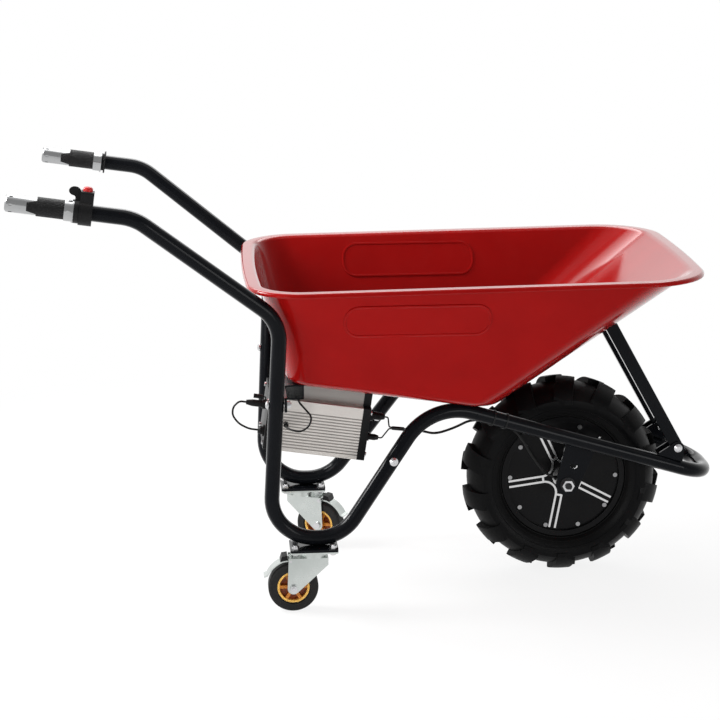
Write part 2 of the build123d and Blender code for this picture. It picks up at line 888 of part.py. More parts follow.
def front_face(across_at, drop):
    # On the outside of the front end plate, facing forward
    point = case_plane.from_local_coords((across_at, drop, -end_plate_thickness))
    return Plane(point, x_dir=(0, 1, 0), z_dir=floor_forward)


def rear_face(across_at, drop):
    # On the outside of the rear end plate, facing rearward
    point = case_plane.from_local_coords((across_at, drop, case_length + end_plate_thickness))
    return Plane(point, x_dir=(0, 1, 0), z_dir=floor_forward * -1)


with BuildPart() as end_plate_screws:
    for across_at in (-port_spacing_x / 2, port_spacing_x / 2):
        for drop in (case_height / 2 - port_spacing_y / 2, case_height / 2 + port_spacing_y / 2):
            cap_screw(front_face(across_at, drop), plate_screw_length, plate_screw_diameter)
            cap_screw(rear_face(across_at, drop), plate_screw_length, plate_screw_diameter)
save(end_plate_screws, "end_plate_screws")

# Battery pack on the floor of the case, controller on top of the pack
inner_width = cavity_width - 2 * screw_port - 2 * inner_clearance
pack_top = case_height - case_wall - pack_height
with BuildPart() as battery_pack:
    with BuildSketch(case_plane.offset(inner_clearance)):
        with Locations((0, pack_top + pack_height / 2)):
            Rectangle(inner_width, pack_height)
    extrude(amount=case_length - 2 * inner_clearance)
save(battery_pack, "battery_pack")

with BuildPart() as motor_controller:
    with BuildSketch(case_plane.offset(inner_clearance)):
        with Locations((0, pack_top - controller_height / 2)):
            Rectangle(inner_width, controller_height)
    extrude(amount=case_length - 2 * inner_clearance)
save(motor_controller, "motor_controller")


# Handles: a stepped bar in each tube end carries a clamp ring, the rubber grip and its metal end
def bar_ring(plane, radius, length):
    # Ring on the grip bar
    with BuildSketch(plane) as ring:
        Circle(radius)
        Circle(grip_bar_diameter / 2 + running_clearance, mode=Mode.SUBTRACT)
    extrude(ring.sketch, amount=length)


grip_length = grip_bar_length - throttle_width - clamp_width - grip_end_length
clamp_step = {-1: throttle_width, 1: collar_width}
grip_step = {side: clamp_step[side] + clamp_width for side in (-1, 1)}
metal_step = {side: grip_step[side] + grip_length for side in (-1, 1)}

with BuildPart() as grip_bars:
    for side in (-1, 1):
        bar_reach = metal_step[side] + grip_end_length - grip_end_cap
        shank(grip_plane(side, -grip_bar_insert), grip_bar_insert, tube_bore / 2 - bar_clearance)
        shank(grip_plane(side, 0), bar_reach, grip_bar_diameter / 2)
save(grip_bars, "grip_bars")

# Clamp rings with a flange toward the tube and a set screw on the outer side
with BuildPart() as clamp_rings:
    for side in (-1, 1):
        bar_ring(grip_plane(side, clamp_step[side]), clamp_diameter / 2, clamp_width)
        bar_ring(grip_plane(side, clamp_step[side]), clamp_flange_diameter / 2, clamp_flange_width)
        screw_step = clamp_step[side] + (clamp_flange_width + clamp_width) / 2
        screw_reach = clamp_diameter / 2 - set_screw_height
        screw_seat = grip_plane(side, screw_step).origin + Vector(0, side * screw_reach, 0)
        shank(Plane(screw_seat, z_dir=(0, side, 0)), 2 * set_screw_height, set_screw_diameter / 2)
save(clamp_rings, "clamp_rings")


def tongue_outline(side):
    # Seen from the side, the part of the grip that reaches between the fingers of the metal end
    tip = grip_plane(side, metal_step[side]).origin
    with BuildSketch(Plane(tip, x_dir=grip_direction, z_dir=(0, 1, 0))) as outline:
        with BuildLine():
            Polyline(
                (0, -tongue_tip_height / 2),
                (0, tongue_tip_height / 2),
                (-tongue_length, tongue_root_height / 2),
                (-tongue_length, -tongue_root_height / 2),
                close=True,
            )
        make_face()
    return outline.sketch


for side, name in ((-1, "right"), (1, "left")):
    with BuildPart() as tongues:
        bar_ring(grip_plane(side, metal_step[side] - tongue_length), grip_diameter / 2, tongue_length)
        extrude(tongue_outline(side), amount=grip_diameter, both=True, mode=Mode.INTERSECT)
    with BuildPart() as grip:
        bar_ring(grip_plane(side, grip_step[side]), grip_diameter / 2, grip_length - tongue_length)
        add(tongues.part)
        if side > 0:
            bar_ring(grip_plane(side, 0), collar_diameter / 2, collar_width)
            bar_ring(grip_plane(side, 0), collar_disc_diameter / 2, collar_disc_width)
    save(grip, f"{name}_grip")

# Metal ends: two fingers over the grip, a chamfered tip and a ring of round-ended pockets
with BuildPart() as grip_ends:
    for side in (-1, 1):
        finger_plane = grip_plane(side, metal_step[side] - tongue_length)
        cap_plane = grip_plane(side, metal_step[side] + grip_end_length - grip_end_cap)
        tip_plane = cap_plane.offset(grip_end_cap - grip_end_chamfer)
        bar_ring(finger_plane, grip_end_diameter / 2, tongue_length + grip_end_length - grip_end_cap)
        shank(cap_plane, grip_end_cap - grip_end_chamfer, grip_end_diameter / 2)
        taper(tip_plane, grip_end_chamfer, grip_end_diameter / 2, grip_end_diameter / 2 - grip_end_chamfer)
        extrude(tongue_outline(side), amount=grip_diameter, both=True, mode=Mode.SUBTRACT)
        pocket_centre = grip_plane(side, metal_step[side] + grip_end_length - grip_slot_setback).origin
        pocket_floor = grip_end_diameter / 2 - grip_slot_depth
        for index in range(grip_slot_count):
            outward = Vector(0, 1, 0).rotate(Axis((0, 0, 0), grip_direction), 360 / grip_slot_count * index)
            pocket_plane = Plane(pocket_centre, x_dir=grip_direction, z_dir=outward).offset(pocket_floor)
            with BuildSketch(pocket_plane) as pocket:
                SlotOverall(grip_slot_length, grip_slot_width)
            extrude(pocket.sketch, amount=grip_slot_depth + grip_end_chamfer, mode=Mode.SUBTRACT)
save(grip_ends, "grip_ends")

# Thumb throttle on the right bar: housing with an upright module, paddle round the bar, push button
housing_width = throttle_width - paddle_width - 2 * moving_gap
grip_up = grip_plane(-1, 0).y_dir
module_top = grip_plane(-1, housing_width / 2).from_local_coords((0, module_rise, 0))
button_plane = Plane(module_top, x_dir=grip_direction, z_dir=grip_up)

with BuildPart() as throttle_housing:
    with BuildSketch(grip_plane(-1, 0)) as outline:
        Circle(housing_diameter / 2)
        with Locations((0, module_rise / 2)):
            RectangleRounded(module_width, module_rise, module_corner)
        Circle(grip_bar_diameter / 2 + running_clearance, mode=Mode.SUBTRACT)
    extrude(outline.sketch, amount=housing_width)
    hole_depth = button_stem + button_travel + moving_gap
    with Locations(button_plane.offset(-hole_depth)):
        Cylinder(
            button_diameter / 2 + moving_gap,
            2 * hole_depth,
            align=(Align.CENTER, Align.CENTER, Align.MIN),
            mode=Mode.SUBTRACT,
        )
save(throttle_housing, "throttle_housing")

with BuildPart() as throttle_button:
    shank(button_plane.offset(-button_stem), button_stem + button_height, button_diameter / 2)
    fillet(throttle_button.edges().sort_by(Axis.Z)[-1], button_edge)
save(throttle_button, "throttle_button")

# Paddle: a ring on the bar with an ear that stands up beside the module and reaches over the clamp ring
paddle_step = housing_width + moving_gap
paddle_turn = math.radians(paddle_angle)
paddle_out = Vector(0, -math.cos(paddle_turn), 0) + grip_up * math.sin(paddle_turn)
ear_plane = Plane(
    grip_plane(-1, paddle_step).origin, x_dir=grip_direction, z_dir=grip_direction.cross(paddle_out)
)
with BuildPart() as throttle_paddle:
    bar_ring(grip_plane(-1, paddle_step), paddle_ring_diameter / 2, paddle_width)
    with BuildSketch(ear_plane) as ear:
        neck_root = (grip_bar_diameter + paddle_ring_diameter) / 4
        with Locations((paddle_width / 2, (neck_root + paddle_head_rise) / 2)):
            Rectangle(paddle_width, paddle_head_rise - neck_root)
        with Locations((paddle_head_length / 2, paddle_head_rise)):
            Ellipse(paddle_head_length / 2, paddle_head_height / 2)
        fillet(ear.vertices().sort_by(Axis.X)[-3:-1].sort_by(Axis.Y)[-1], paddle_bend)
    extrude(ear.sketch, amount=paddle_thickness / 2, both=True)
save(throttle_paddle, "throttle_paddle")


# Drive wheel: profiles are drawn with the radius along local X and the axle along local Y
wheel_plane = Plane(wheel_centre, x_dir=(1, 0, 0), z_dir=(0, 0, 1))
wheel_axis = Axis(wheel_centre, (0, 1, 0))
cover_back = cover_face - cover_thickness
bearing_end = cover_back + bearing_width
boss_face = bearing_end + bearing_lip
axle_half = axle_bracket_inner + axle_bracket_plate + axle_washer_thickness + axle_nut_height + axle_tail
magnet_radius = stator_radius + air_gap
shell_radius = magnet_radius + magnet_thickness
pocket_radius = cover_radius + side_clearance


def hub_plane(side, face):
    # Square to the axle at the given distance from the middle, facing outward
    return Plane(wheel_centre + Vector(0, side * face, 0), x_dir=(1, 0, 0), z_dir=(0, side, 0))


def ring_section(inner, outer, near, far):
    # Rectangle for a ring about the axle
    with BuildSketch(wheel_plane) as section:
        with Locations(((inner + outer) / 2, (near + far) / 2)):
            Rectangle(outer - inner, abs(far - near))
    return section.sketch


with BuildPart() as axle:
    with Locations(hub_plane(1, 0)):
        Cylinder(axle_radius, 2 * axle_bracket_inner)
    with BuildSketch(bracket_side_plane) as threaded:
        Circle(axle_thread_radius)
        Rectangle(4 * axle_thread_radius, 2 * axle_flat, mode=Mode.INTERSECT)
    extrude(threaded.sketch, amount=axle_half, both=True)
save(axle, "axle")

washer_face = axle_bracket_inner + axle_bracket_plate
with BuildPart() as axle_washers:
    for side in (-1, 1):
        near = side * washer_face
        far = side * (washer_face + axle_washer_thickness)
        washer = ring_section(axle_thread_radius + running_clearance, axle_washer_radius, near, far)
        revolve(washer, axis=wheel_axis)
save(axle_washers, "axle_washers")

with BuildPart() as axle_nuts:
    for side in (-1, 1):
        seat = hub_plane(side, washer_face + axle_washer_thickness)
        nut(seat, axle_nut_height, axle_nut_across_corners, axle_thread_radius)
save(axle_nuts, "axle_nuts")

# Stator fixed on the axle, with open winding slots
with BuildPart() as stator:
    revolve(
        ring_section(axle_radius + running_clearance, stator_radius, -stator_half_width, stator_half_width),
        axis=wheel_axis,
    )
    with BuildSketch(hub_plane(1, 0)) as slots:
        with PolarLocations(stator_radius - stator_slot_depth / 2, stator_slot_count):
            Rectangle(stator_slot_depth, stator_slot_width)
    extrude(slots.sketch, amount=2 * stator_half_width, both=True, mode=Mode.SUBTRACT)
save(stator, "stator")

with BuildPart() as magnet_ring:
    revolve(ring_section(magnet_radius, shell_radius, -stator_half_width, stator_half_width), axis=wheel_axis)
save(magnet_ring, "magnet_ring")

bead_face = rim_half_width - rim_flange_thickness
with BuildPart() as wheel_rim:
    with BuildSketch(wheel_plane) as section:
        with BuildLine():
            Polyline(
                (shell_radius, 0),
                (shell_radius, cover_back),
                (pocket_radius, cover_back),
                (pocket_radius, rim_half_width),
                (rim_flange_radius, rim_half_width),
                (rim_flange_radius, bead_face),
                (rim_seat_radius, bead_face),
                (rim_seat_radius, rim_well_half_width + rim_seat_radius - rim_well_radius),
                (rim_well_radius, rim_well_half_width),
                (rim_well_radius, 0),
                close=True,
            )
        make_face()
        mirror(about=Plane.XZ)
    revolve(section.sketch, axis=wheel_axis)
    for side in (-1, 1):
        with BuildSketch(hub_plane(side, cover_face)) as holes:
            with PolarLocations(screw_circle, screw_count):
                Circle(screw_diameter / 2 + running_clearance)
        extrude(holes.sketch, amount=-screw_length - screw_diameter, mode=Mode.SUBTRACT)
save(wheel_rim, "wheel_rim")

# Hub covers: a disc with a bearing boss and raised ribs in a five-armed star
spoke_pitch = 360 / spoke_count


def spoke_point(radius, offset_across, turn):
    return Vector(radius, offset_across).rotate(Axis.Z, turn)


with BuildSketch() as star_arm:
    valley_depth = spoke_half_gap / math.sin(math.radians(spoke_pitch / 2))
    with BuildLine():
        FilletPolyline(
            spoke_point(spoke_outer, spoke_half_gap, 0),
            spoke_point(valley_depth, 0, spoke_pitch / 2),
            spoke_point(spoke_outer, -spoke_half_gap, spoke_pitch),
            radius=valley_bend,
        )
    trace(line_width=rib_width)
    with Locations((spoke_inner, 0)):
        Rectangle(rib_width, 2 * spoke_half_gap)

for side, name in ((-1, "right"), (1, "left")):
    with BuildPart() as hub_cover:
        with BuildSketch(wheel_plane) as section:
            with BuildLine():
                Polyline(
                    (bearing_outer_radius, side * cover_back),
                    (cover_radius, side * cover_back),
                    (cover_radius, side * cover_face),
                    (boss_radius, side * cover_face),
                    (boss_radius, side * boss_face),
                    (axle_radius + moving_gap, side * boss_face),
                    (axle_radius + moving_gap, side * bearing_end),
                    (bearing_outer_radius, side * bearing_end),
                    close=True,
                )
            make_face()
        revolve(section.sketch, axis=wheel_axis)
        with BuildSketch(hub_plane(side, cover_face)) as ribs:
            with PolarLocations(0, spoke_count, start_angle=-side * spoke_angle):
                add(star_arm.sketch)
        extrude(ribs.sketch, amount=rib_height)
        with BuildSketch(hub_plane(side, cover_face)) as holes:
            with PolarLocations(screw_circle, screw_count):
                Circle(screw_diameter / 2 + bolt_clearance)
        extrude(holes.sketch, amount=-cover_thickness, mode=Mode.SUBTRACT)
    save(hub_cover, f"{name}_hub_cover")

with BuildPart() as cover_screws:
    for side in (-1, 1):
        face = hub_plane(side, cover_face)
        for index in range(screw_count):
            turn = math.radians(360 / screw_count * index)
            seat = face.from_local_coords((screw_circle * math.cos(turn), screw_circle * math.sin(turn), 0))
            cap_screw(Plane(seat, x_dir=(1, 0, 0), z_dir=(0, side, 0)), screw_length, screw_diameter)
save(cover_screws, "cover_screws")

with BuildPart() as bearings:
    for side in (-1, 1):
        section = ring_section(
            axle_radius + running_clearance, bearing_outer_radius, side * cover_back, side * bearing_end
        )
        revolve(section, axis=wheel_axis)
save(bearings, "bearings")

# Tyre: a hollow carcass with rows of slanted lugs left and right of the middle
crown_radius = wheel_radius - tread_depth
bead_radius = rim_seat_radius + running_clearance
bead_width = bead_face - rest_gap
shoulder_radius = crown_radius - shoulder_share * (crown_radius - rim_flange_radius)
wall_half_width = tyre_half_width - sidewall_step
belly_radius = (rim_flange_radius + shoulder_radius) / 2


def carcass_outline(shrink):
    # Closed outline from bead to bead over the crown, shrunk for the inside
    half = wall_half_width - shrink
    foot = bead_width - shrink
    wall_start = rim_flange_radius + rest_gap
    belly = half - tread_depth / 4
    with BuildSketch(wheel_plane) as outline:
        with BuildLine():
            Line((bead_radius, -foot), (bead_radius, foot))
            Line((bead_radius, foot), (wall_start, foot))
            ThreePointArc((wall_start, foot), (belly_radius, belly), (shoulder_radius, half))
            ThreePointArc((shoulder_radius, half), (crown_radius - shrink, 0), (shoulder_radius, -half))
            ThreePointArc((shoulder_radius, -half), (belly_radius, -belly), (wall_start, -foot))
            Line((wall_start, -foot), (bead_radius, -foot))
        make_face()
    return outline.sketch


with BuildSketch(wheel_plane) as tread_section:
    with BuildLine():
        ThreePointArc(
            (shoulder_radius, tyre_half_width), (wheel_radius, 0), (shoulder_radius, -tyre_half_width)
        )
        Line((shoulder_radius, -tyre_half_width), (shoulder_radius - tread_depth, -tyre_half_width))
        Line((shoulder_radius - tread_depth, -tyre_half_width), (shoulder_radius - tread_depth, 0))
        Line((shoulder_radius - tread_depth, 0), (shoulder_radius - tread_depth, tyre_half_width))
        Line((shoulder_radius - tread_depth, tyre_half_width), (shoulder_radius, tyre_half_width))
    make_face()
    add(carcass_outline(tyre_wall / 2), mode=Mode.SUBTRACT)

with BuildPart() as lugs:
    for side in (-1, 1):
        for index in range(lug_count):
            turn = 360 / lug_count * (index + lug_stagger * (side + 1) / 2) - 90
            outward = Vector(1, 0, 0).rotate(Axis.Y, -turn)
            forward = Vector(0, 0, 1).rotate(Axis.Y, -turn).rotate(Axis((0, 0, 0), outward), side * lug_slant)
            lug_middle = side * (lug_gap + tyre_half_width) / 2
            seat = wheel_centre + outward * crown_radius + Vector(0, lug_middle, 0)
            with Locations(Plane(seat, x_dir=forward, z_dir=outward)):
                Box(lug_width, tyre_half_width - lug_gap, 6 * tread_depth)
    revolve(tread_section.sketch, axis=wheel_axis, mode=Mode.INTERSECT)

with BuildPart() as tyre:
    revolve(carcass_outline(0), axis=wheel_axis)
    add(lugs.part)
    revolve(carcass_outline(tyre_wall), axis=wheel_axis, mode=Mode.SUBTRACT)
save(tyre, "tyre")


# Casters: in the side view local X runs from the swivel axis to the wheel axle, local Y is the height
plate_bottom = caster_height - caster_plate_thickness
race_bottom = plate_bottom - race_depth
fork_top = 2 * caster_wheel_radius + wheel_headroom + fork_plate
fork_half_gap = caster_wheel_width / 2 + fork_clearance
fork_half_width = fork_half_gap + fork_plate
pedal_pivot = Vector(caster_trail + pedal_pin_setback, fork_top - pedal_pin_drop)
headings = {-1: right_heading, 1: left_heading}


def swivel_point(side):
    return Vector(caster_x, side * foot_half_width, 0)


def heading_vector(side):
    return Vector(1, 0, 0).rotate(Axis.Z, headings[side])


def caster_side_view(side):
    heading = heading_vector(side)
    return Plane(swivel_point(side), x_dir=heading, z_dir=heading.rotate(Axis.Z, -90))


def caster_level(side, height):
    return Plane(swivel_point(side) + Vector(0, 0, height), x_dir=heading_vector(side), z_dir=(0, 0, 1))


def caster_bolt_plane(side, index):
    # Under the caster plate, facing down
    along_x = plate_hole_length / 2 * (1 if index % 2 else -1)
    along_y = plate_hole_width / 2 * (1 if index > 1 else -1)
    seat = swivel_point(side) + Vector(along_x, along_y, plate_bottom)
    return Plane(seat, x_dir=(1, 0, 0), z_dir=(0, 0, -1))


with BuildPart() as caster_plates:
    for side in (-1, 1):
        with BuildSketch(Plane(swivel_point(side) + Vector(0, 0, plate_bottom))) as plate:
            RectangleRounded(plate_length, plate_width, plate_corner)
            with GridLocations(plate_hole_length, plate_hole_width, 2, 2):
                Circle(bolt_diameter / 2 + bolt_clearance, mode=Mode.SUBTRACT)
            Circle(king_pin_radius + running_clearance, mode=Mode.SUBTRACT)
        extrude(plate.sketch, amount=caster_plate_thickness)
        with BuildSketch(Plane(swivel_point(side) + Vector(0, 0, plate_bottom))) as race:
            Circle(race_radius)
            Circle(king_pin_radius + running_clearance, mode=Mode.SUBTRACT)
        extrude(race.sketch, amount=-race_depth)
save(caster_plates, "caster_plates")

with BuildPart() as caster_plate_bolts:
    for side in (-1, 1):
        for index in range(4):
            bolt_and_nut(caster_bolt_plane(side, index), caster_plate_thickness + mount_plate_thickness)
save(caster_plate_bolts, "caster_plate_bolts")

for side, name in ((-1, "right"), (1, "left")):
    view = caster_side_view(side)

    # Fork: two tapered legs under a top plate with a raised dish
    with BuildPart() as caster_fork:
        with BuildSketch(view) as leg:
            with Locations(((caster_trail + fork_tail - fork_nose) / 2, fork_top - fork_shoulder / 2)):
                Rectangle(caster_trail + fork_tail + fork_nose, fork_shoulder)
            with Locations((caster_trail, caster_wheel_radius)):
                Circle(fork_eye)
            make_hull()
            with Locations((caster_trail, caster_wheel_radius)):
                Circle(caster_axle_radius + bolt_clearance, mode=Mode.SUBTRACT)
            with Locations((pedal_pivot.X, pedal_pivot.Y)):
                Circle(pedal_pin_radius + running_clearance, mode=Mode.SUBTRACT)
        extrude(leg.sketch, amount=fork_half_width, both=True)
        with BuildSketch(view) as gap:
            with Locations((caster_trail, fork_top - fork_plate - caster_wheel_radius * 2)):
                Rectangle(8 * caster_wheel_radius, 4 * caster_wheel_radius)
            cut_start = pedal_pivot.X - pedal_eye_radius - 2 * moving_gap
            with Locations((cut_start + caster_wheel_radius, fork_top)):
                Rectangle(2 * caster_wheel_radius, 4 * fork_shoulder)
        extrude(gap.sketch, amount=fork_half_gap, both=True, mode=Mode.SUBTRACT)
        with BuildSketch(caster_level(side, fork_top)) as dish:
            Circle(race_radius - dish_inset)
        extrude(dish.sketch, amount=race_bottom - moving_gap - fork_top)
        with BuildSketch(caster_level(side, fork_top)) as bore:
            Circle(king_pin_radius + running_clearance)
        extrude(bore.sketch, amount=fork_shoulder, both=True, mode=Mode.SUBTRACT)
    save(caster_fork, f"{name}_caster_fork")

    pin_foot = fork_top - fork_plate
    with BuildPart() as king_pin:
        shank(caster_level(side, pin_foot), caster_height - moving_gap - pin_foot, king_pin_radius)
        shank(caster_level(side, pin_foot - king_pin_head_height), king_pin_head_height, king_pin_head)
    save(king_pin, f"{name}_king_pin")

    # Wheel axle bolt with its nut, and the pin of the brake pedal
    fork_side = view.offset(fork_half_width)
    axle_seat = Plane(fork_side.from_local_coords((caster_trail, caster_wheel_radius, 0)), z_dir=view.z_dir)
    pin_seat = Plane(fork_side.from_local_coords((pedal_pivot.X, pedal_pivot.Y, 0)), z_dir=view.z_dir)
    with BuildPart() as caster_pins:
        shank(axle_seat, caster_bolt_head_height, caster_bolt_head)
        axle_bolt_length = 2 * fork_half_width + nut_height + bolt_tail
        shank(axle_seat.offset(-axle_bolt_length), axle_bolt_length, caster_axle_radius)
        nut_seat = axle_seat.offset(-2 * fork_half_width - nut_height)
        nut(nut_seat, nut_height, nut_across_corners, caster_axle_radius)
        shank(pin_seat.offset(-2 * fork_half_width), 2 * fork_half_width + pedal_pin_radius, pedal_pin_radius)
        shank(pin_seat, pedal_pin_radius / 2, pedal_eye_radius)
    save(caster_pins, f"{name}_caster_pins")

    # Wheel core: hub, band and a closed web stiffened by spokes on both sides
    band_inside = caster_core_radius - caster_core_band
    with BuildPart() as caster_core:
        hub_centre = view.from_local_coords((caster_trail, caster_wheel_radius, 0))
        hub_view = Plane(hub_centre, x_dir=view.x_dir, z_dir=view.z_dir)
        with BuildSketch(hub_view) as hub:
            Circle(caster_hub_radius)
            Circle(caster_axle_radius + running_clearance, mode=Mode.SUBTRACT)
        extrude(hub.sketch, amount=fork_half_gap - moving_gap, both=True)
        with BuildSketch(hub_view) as spokes:
            spoke_mid = (caster_hub_radius + band_inside) / 2
            with PolarLocations(spoke_mid, caster_spoke_count):
                Rectangle(band_inside - caster_hub_radius + caster_core_band, caster_spoke_width)
        extrude(spokes.sketch, amount=caster_web / 2, both=True)
        with BuildSketch(hub_view) as web:
            Circle(band_inside + caster_core_band / 2)
            Circle(caster_hub_radius - caster_core_band / 2, mode=Mode.SUBTRACT)
        extrude(web.sketch, amount=caster_web_wall / 2, both=True)
        with BuildSketch(hub_view) as band:
            Circle(caster_core_radius)
            Circle(band_inside, mode=Mode.SUBTRACT)
        extrude(band.sketch, amount=caster_wheel_width / 2 - caster_core_band / 2, both=True)
    save(caster_core, f"{name}_caster_core")

    with BuildPart() as caster_tyre:
        with BuildSketch(hub_view) as tread:
            Circle(caster_wheel_radius)
            Circle(caster_core_radius + running_clearance, mode=Mode.SUBTRACT)
        extrude(tread.sketch, amount=caster_wheel_width / 2, both=True)
        fillet(caster_tyre.edges().filter_by(GeomType.CIRCLE).sort_by(SortBy.RADIUS)[-2:], caster_tread_edge)
    save(caster_tyre, f"{name}_caster_tyre")

    # Brake pedal: a curved plate over the rear of the wheel that tips about its pin
    pedal_radius = caster_wheel_radius + pedal_gap + pedal_thickness / 2
    wheel_spot = Vector(caster_trail, caster_wheel_radius)
    pedal_top = wheel_spot + Vector(pedal_radius, 0).rotate(Axis.Z, pedal_end)
    pedal_tip = wheel_spot + Vector(pedal_radius, 0).rotate(Axis.Z, pedal_start)
    lip_tip = pedal_tip + Vector(pedal_lip, 0).rotate(Axis.Z, pedal_start - pedal_lip_turn)
    with BuildPart() as brake_pedal:
        with BuildSketch(view) as plate:
            with BuildLine():
                Line(pedal_pivot, pedal_top)
                CenterArc(wheel_spot, pedal_radius, pedal_start, pedal_end - pedal_start)
                Line(pedal_tip, lip_tip)
            trace(line_width=pedal_thickness)
        extrude(plate.sketch, amount=pedal_width / 2, both=True)
        with BuildSketch(view) as eye:
            with Locations((pedal_pivot.X, pedal_pivot.Y)):
                Circle(pedal_eye_radius)
        extrude(eye.sketch, amount=fork_half_gap - moving_gap, both=True)
        with BuildSketch(view) as bore:
            with Locations((pedal_pivot.X, pedal_pivot.Y)):
                Circle(pedal_pin_radius + running_clearance)
        extrude(bore.sketch, amount=2 * fork_half_gap, both=True, mode=Mode.SUBTRACT)
    save(brake_pedal, f"{name}_brake_pedal")

    # Plastic pad on the upper end of the pedal
    pad_run = (pedal_top - pedal_pivot).normalized()
    pad_up = pad_run.rotate(Axis.Z, 90)
    pad_start = pedal_pivot + pad_run * pedal_tab_start + pad_up * (pedal_thickness / 2)
    pad_end = pad_start + pad_run * pedal_tab_length
    with BuildPart() as pedal_pad:
        with BuildSketch(view):
            with BuildLine():
                Polyline(
                    pad_start,
                    pad_end,
                    pad_end + pad_up * pedal_tab_height - pad_run * (pedal_tab_height / 2),
                    pad_start + pad_up * pedal_tab_height,
                    close=True,
                )
            make_face()
        extrude(amount=pedal_width / 2, both=True)
    save(pedal_pad, f"{name}_pedal_pad")


# Plugs, sleeves and leads
def plug(plane, diameter, length):
    # Collar on the plate, plug body and a tapered rubber tail
    body_length = plug_body_share * length
    shank(plane, length / 4, plug_collar_ratio * diameter / 2)
    shank(plane, body_length, diameter / 2)
    taper(plane.offset(body_length), length - body_length, diameter / 2, diameter / 3)


def lead_bends(points):
    bends = []
    for before, corner, after in zip(points, points[1:], points[2:]):
        arriving = corner - before
        leaving = after - corner
        half_turn = math.radians(arriving.get_angle(leaving)) / 2
        bends.append(lead_bend_share * min(arriving.length, leaving.length) / math.tan(half_turn))
    return bends


def lead(points, diameter, name):
    bends = lead_bends(points)
    print(name, "bend radii", " ".join(f"{bend:.0f}" for bend in bends))
    return swept_tube(points, bends, diameter, 0)


def behind_case(out, drop):
    # Behind the rear end plate, in line with its plug
    return rear_face(-rear_plug_offset, drop).from_local_coords((0, 0, out))


upper_plug = front_face(-plug_offset, upper_plug_drop)
lower_plug = front_face(-plug_offset, lower_plug_drop)
rear_plug = rear_face(-rear_plug_offset, rear_plug_drop)
rear_socket = rear_face(-rear_plug_offset, rear_socket_drop)
case_side = case_plane.from_local_coords((-case_width / 2, gland_drop, case_length - gland_setback))
side_gland = Plane(case_side, x_dir=(1, 0, 0), z_dir=(0, -1, 0))

# Dust cap of the rear plug, held beside it by a short strap
cap_drop = rear_plug_drop - plug_cap_lift
strap_setback = rear_plug_length / 8
cap_plane = rear_face(-rear_plug_offset, cap_drop).offset(strap_setback + plug_strap_length)
strap_foot = rear_plug_drop - plug_collar_ratio * rear_plug_diameter / 2 + plug_strap_diameter / 2
strap_route = [
    cap_plane.origin,
    behind_case(strap_setback, cap_drop),
    behind_case(strap_setback, strap_foot),
]
plug_strap = lead(strap_route, plug_strap_diameter, "plug strap")

with BuildPart() as lead_plugs:
    plug(upper_plug, upper_plug_diameter, upper_plug_length)
    plug(lower_plug, lower_plug_diameter, lower_plug_length)
    plug(rear_plug, rear_plug_diameter, rear_plug_length)
    plug(rear_socket, rear_socket_diameter, rear_socket_length)
    shank(cap_plane, plug_cap_length, plug_cap_diameter / 2)
    add(plug_strap.part)
    shank(side_gland, gland_length, gland_diameter / 2)
save(lead_plugs, "lead_plugs")

# Sleeve that joins the two plug leads to the motor lead, and the gland on the axle
sleeve_run = Vector(1, 0, 0).rotate(Axis.Z, sleeve_turn)
sleeve_centre = station(sleeve_setback, sleeve_half_width, sleeve_height, -1)
sleeve_rear = sleeve_centre - sleeve_run * (sleeve_length / 2)
sleeve_front = sleeve_centre + sleeve_run * (sleeve_length / 2)
gland_run = Vector(1, 0, 0).rotate(Axis.Y, -axle_gland_angle)
axle_gland_middle = wheel_centre - Vector(0, axle_gland_face + axle_gland_width / 2, 0)
gland_end = axle_gland_middle + gland_run * axle_gland_reach
with BuildPart() as lead_sleeves:
    shank(Plane(sleeve_rear, z_dir=sleeve_run), sleeve_length, sleeve_diameter / 2)
    with Locations(Plane(axle_gland_middle, x_dir=(1, 0, 0), z_dir=(0, -1, 0))):
        Cylinder(axle_gland_radius, axle_gland_width)
    shank(Plane(axle_gland_middle, z_dir=gland_run), axle_gland_reach, gland_diameter / 2)
    with Locations(Plane(axle_gland_middle, x_dir=(1, 0, 0), z_dir=(0, -1, 0))):
        Cylinder(axle_radius + running_clearance, 2 * axle_gland_width, mode=Mode.SUBTRACT)
save(lead_sleeves, "lead_sleeves")

# Leads from the two front plugs to the sleeve
branch_rise = Vector(0, 0, branch_lead_diameter / 2 + bar_clearance)
upper_start = upper_plug.from_local_coords((0, 0, upper_plug_length))
lower_start = lower_plug.from_local_coords((0, 0, lower_plug_length))
upper_leads_in = sleeve_rear + branch_rise
lower_leads_in = sleeve_rear - branch_rise
upper_route = [
    upper_start,
    upper_start + floor_forward * branch_exit,
    upper_leads_in - sleeve_run * branch_exit,
    upper_leads_in,
]
lower_route = [
    lower_start,
    lower_start + floor_forward * branch_exit,
    lower_leads_in - sleeve_run * branch_exit,
    lower_leads_in,
]
upper_lead = lead(upper_route, branch_lead_diameter, "upper plug lead")
lower_lead = lead(lower_route, branch_lead_diameter, "lower plug lead")
with BuildPart() as plug_leads:
    add(upper_lead.part)
    add(lower_lead.part)
save(plug_leads, "plug_leads")


# Motor lead: from the sleeve under the right rail of the loop, then down to the axle
def below_rail(setback):
    # Centre of a lead that lies against the lower inner side of the right rail
    inward = across((nose(-1) - shoulder(-1)).normalized(), -1) * -1
    hang_turn = math.radians(lead_hang_angle)
    hang = (rail_down * math.cos(hang_turn) + inward * math.sin(hang_turn)).normalized()
    return rail_point(axle_x - setback, -1) + hang * (tube_radius + motor_lead_diameter / 2 + rest_gap)


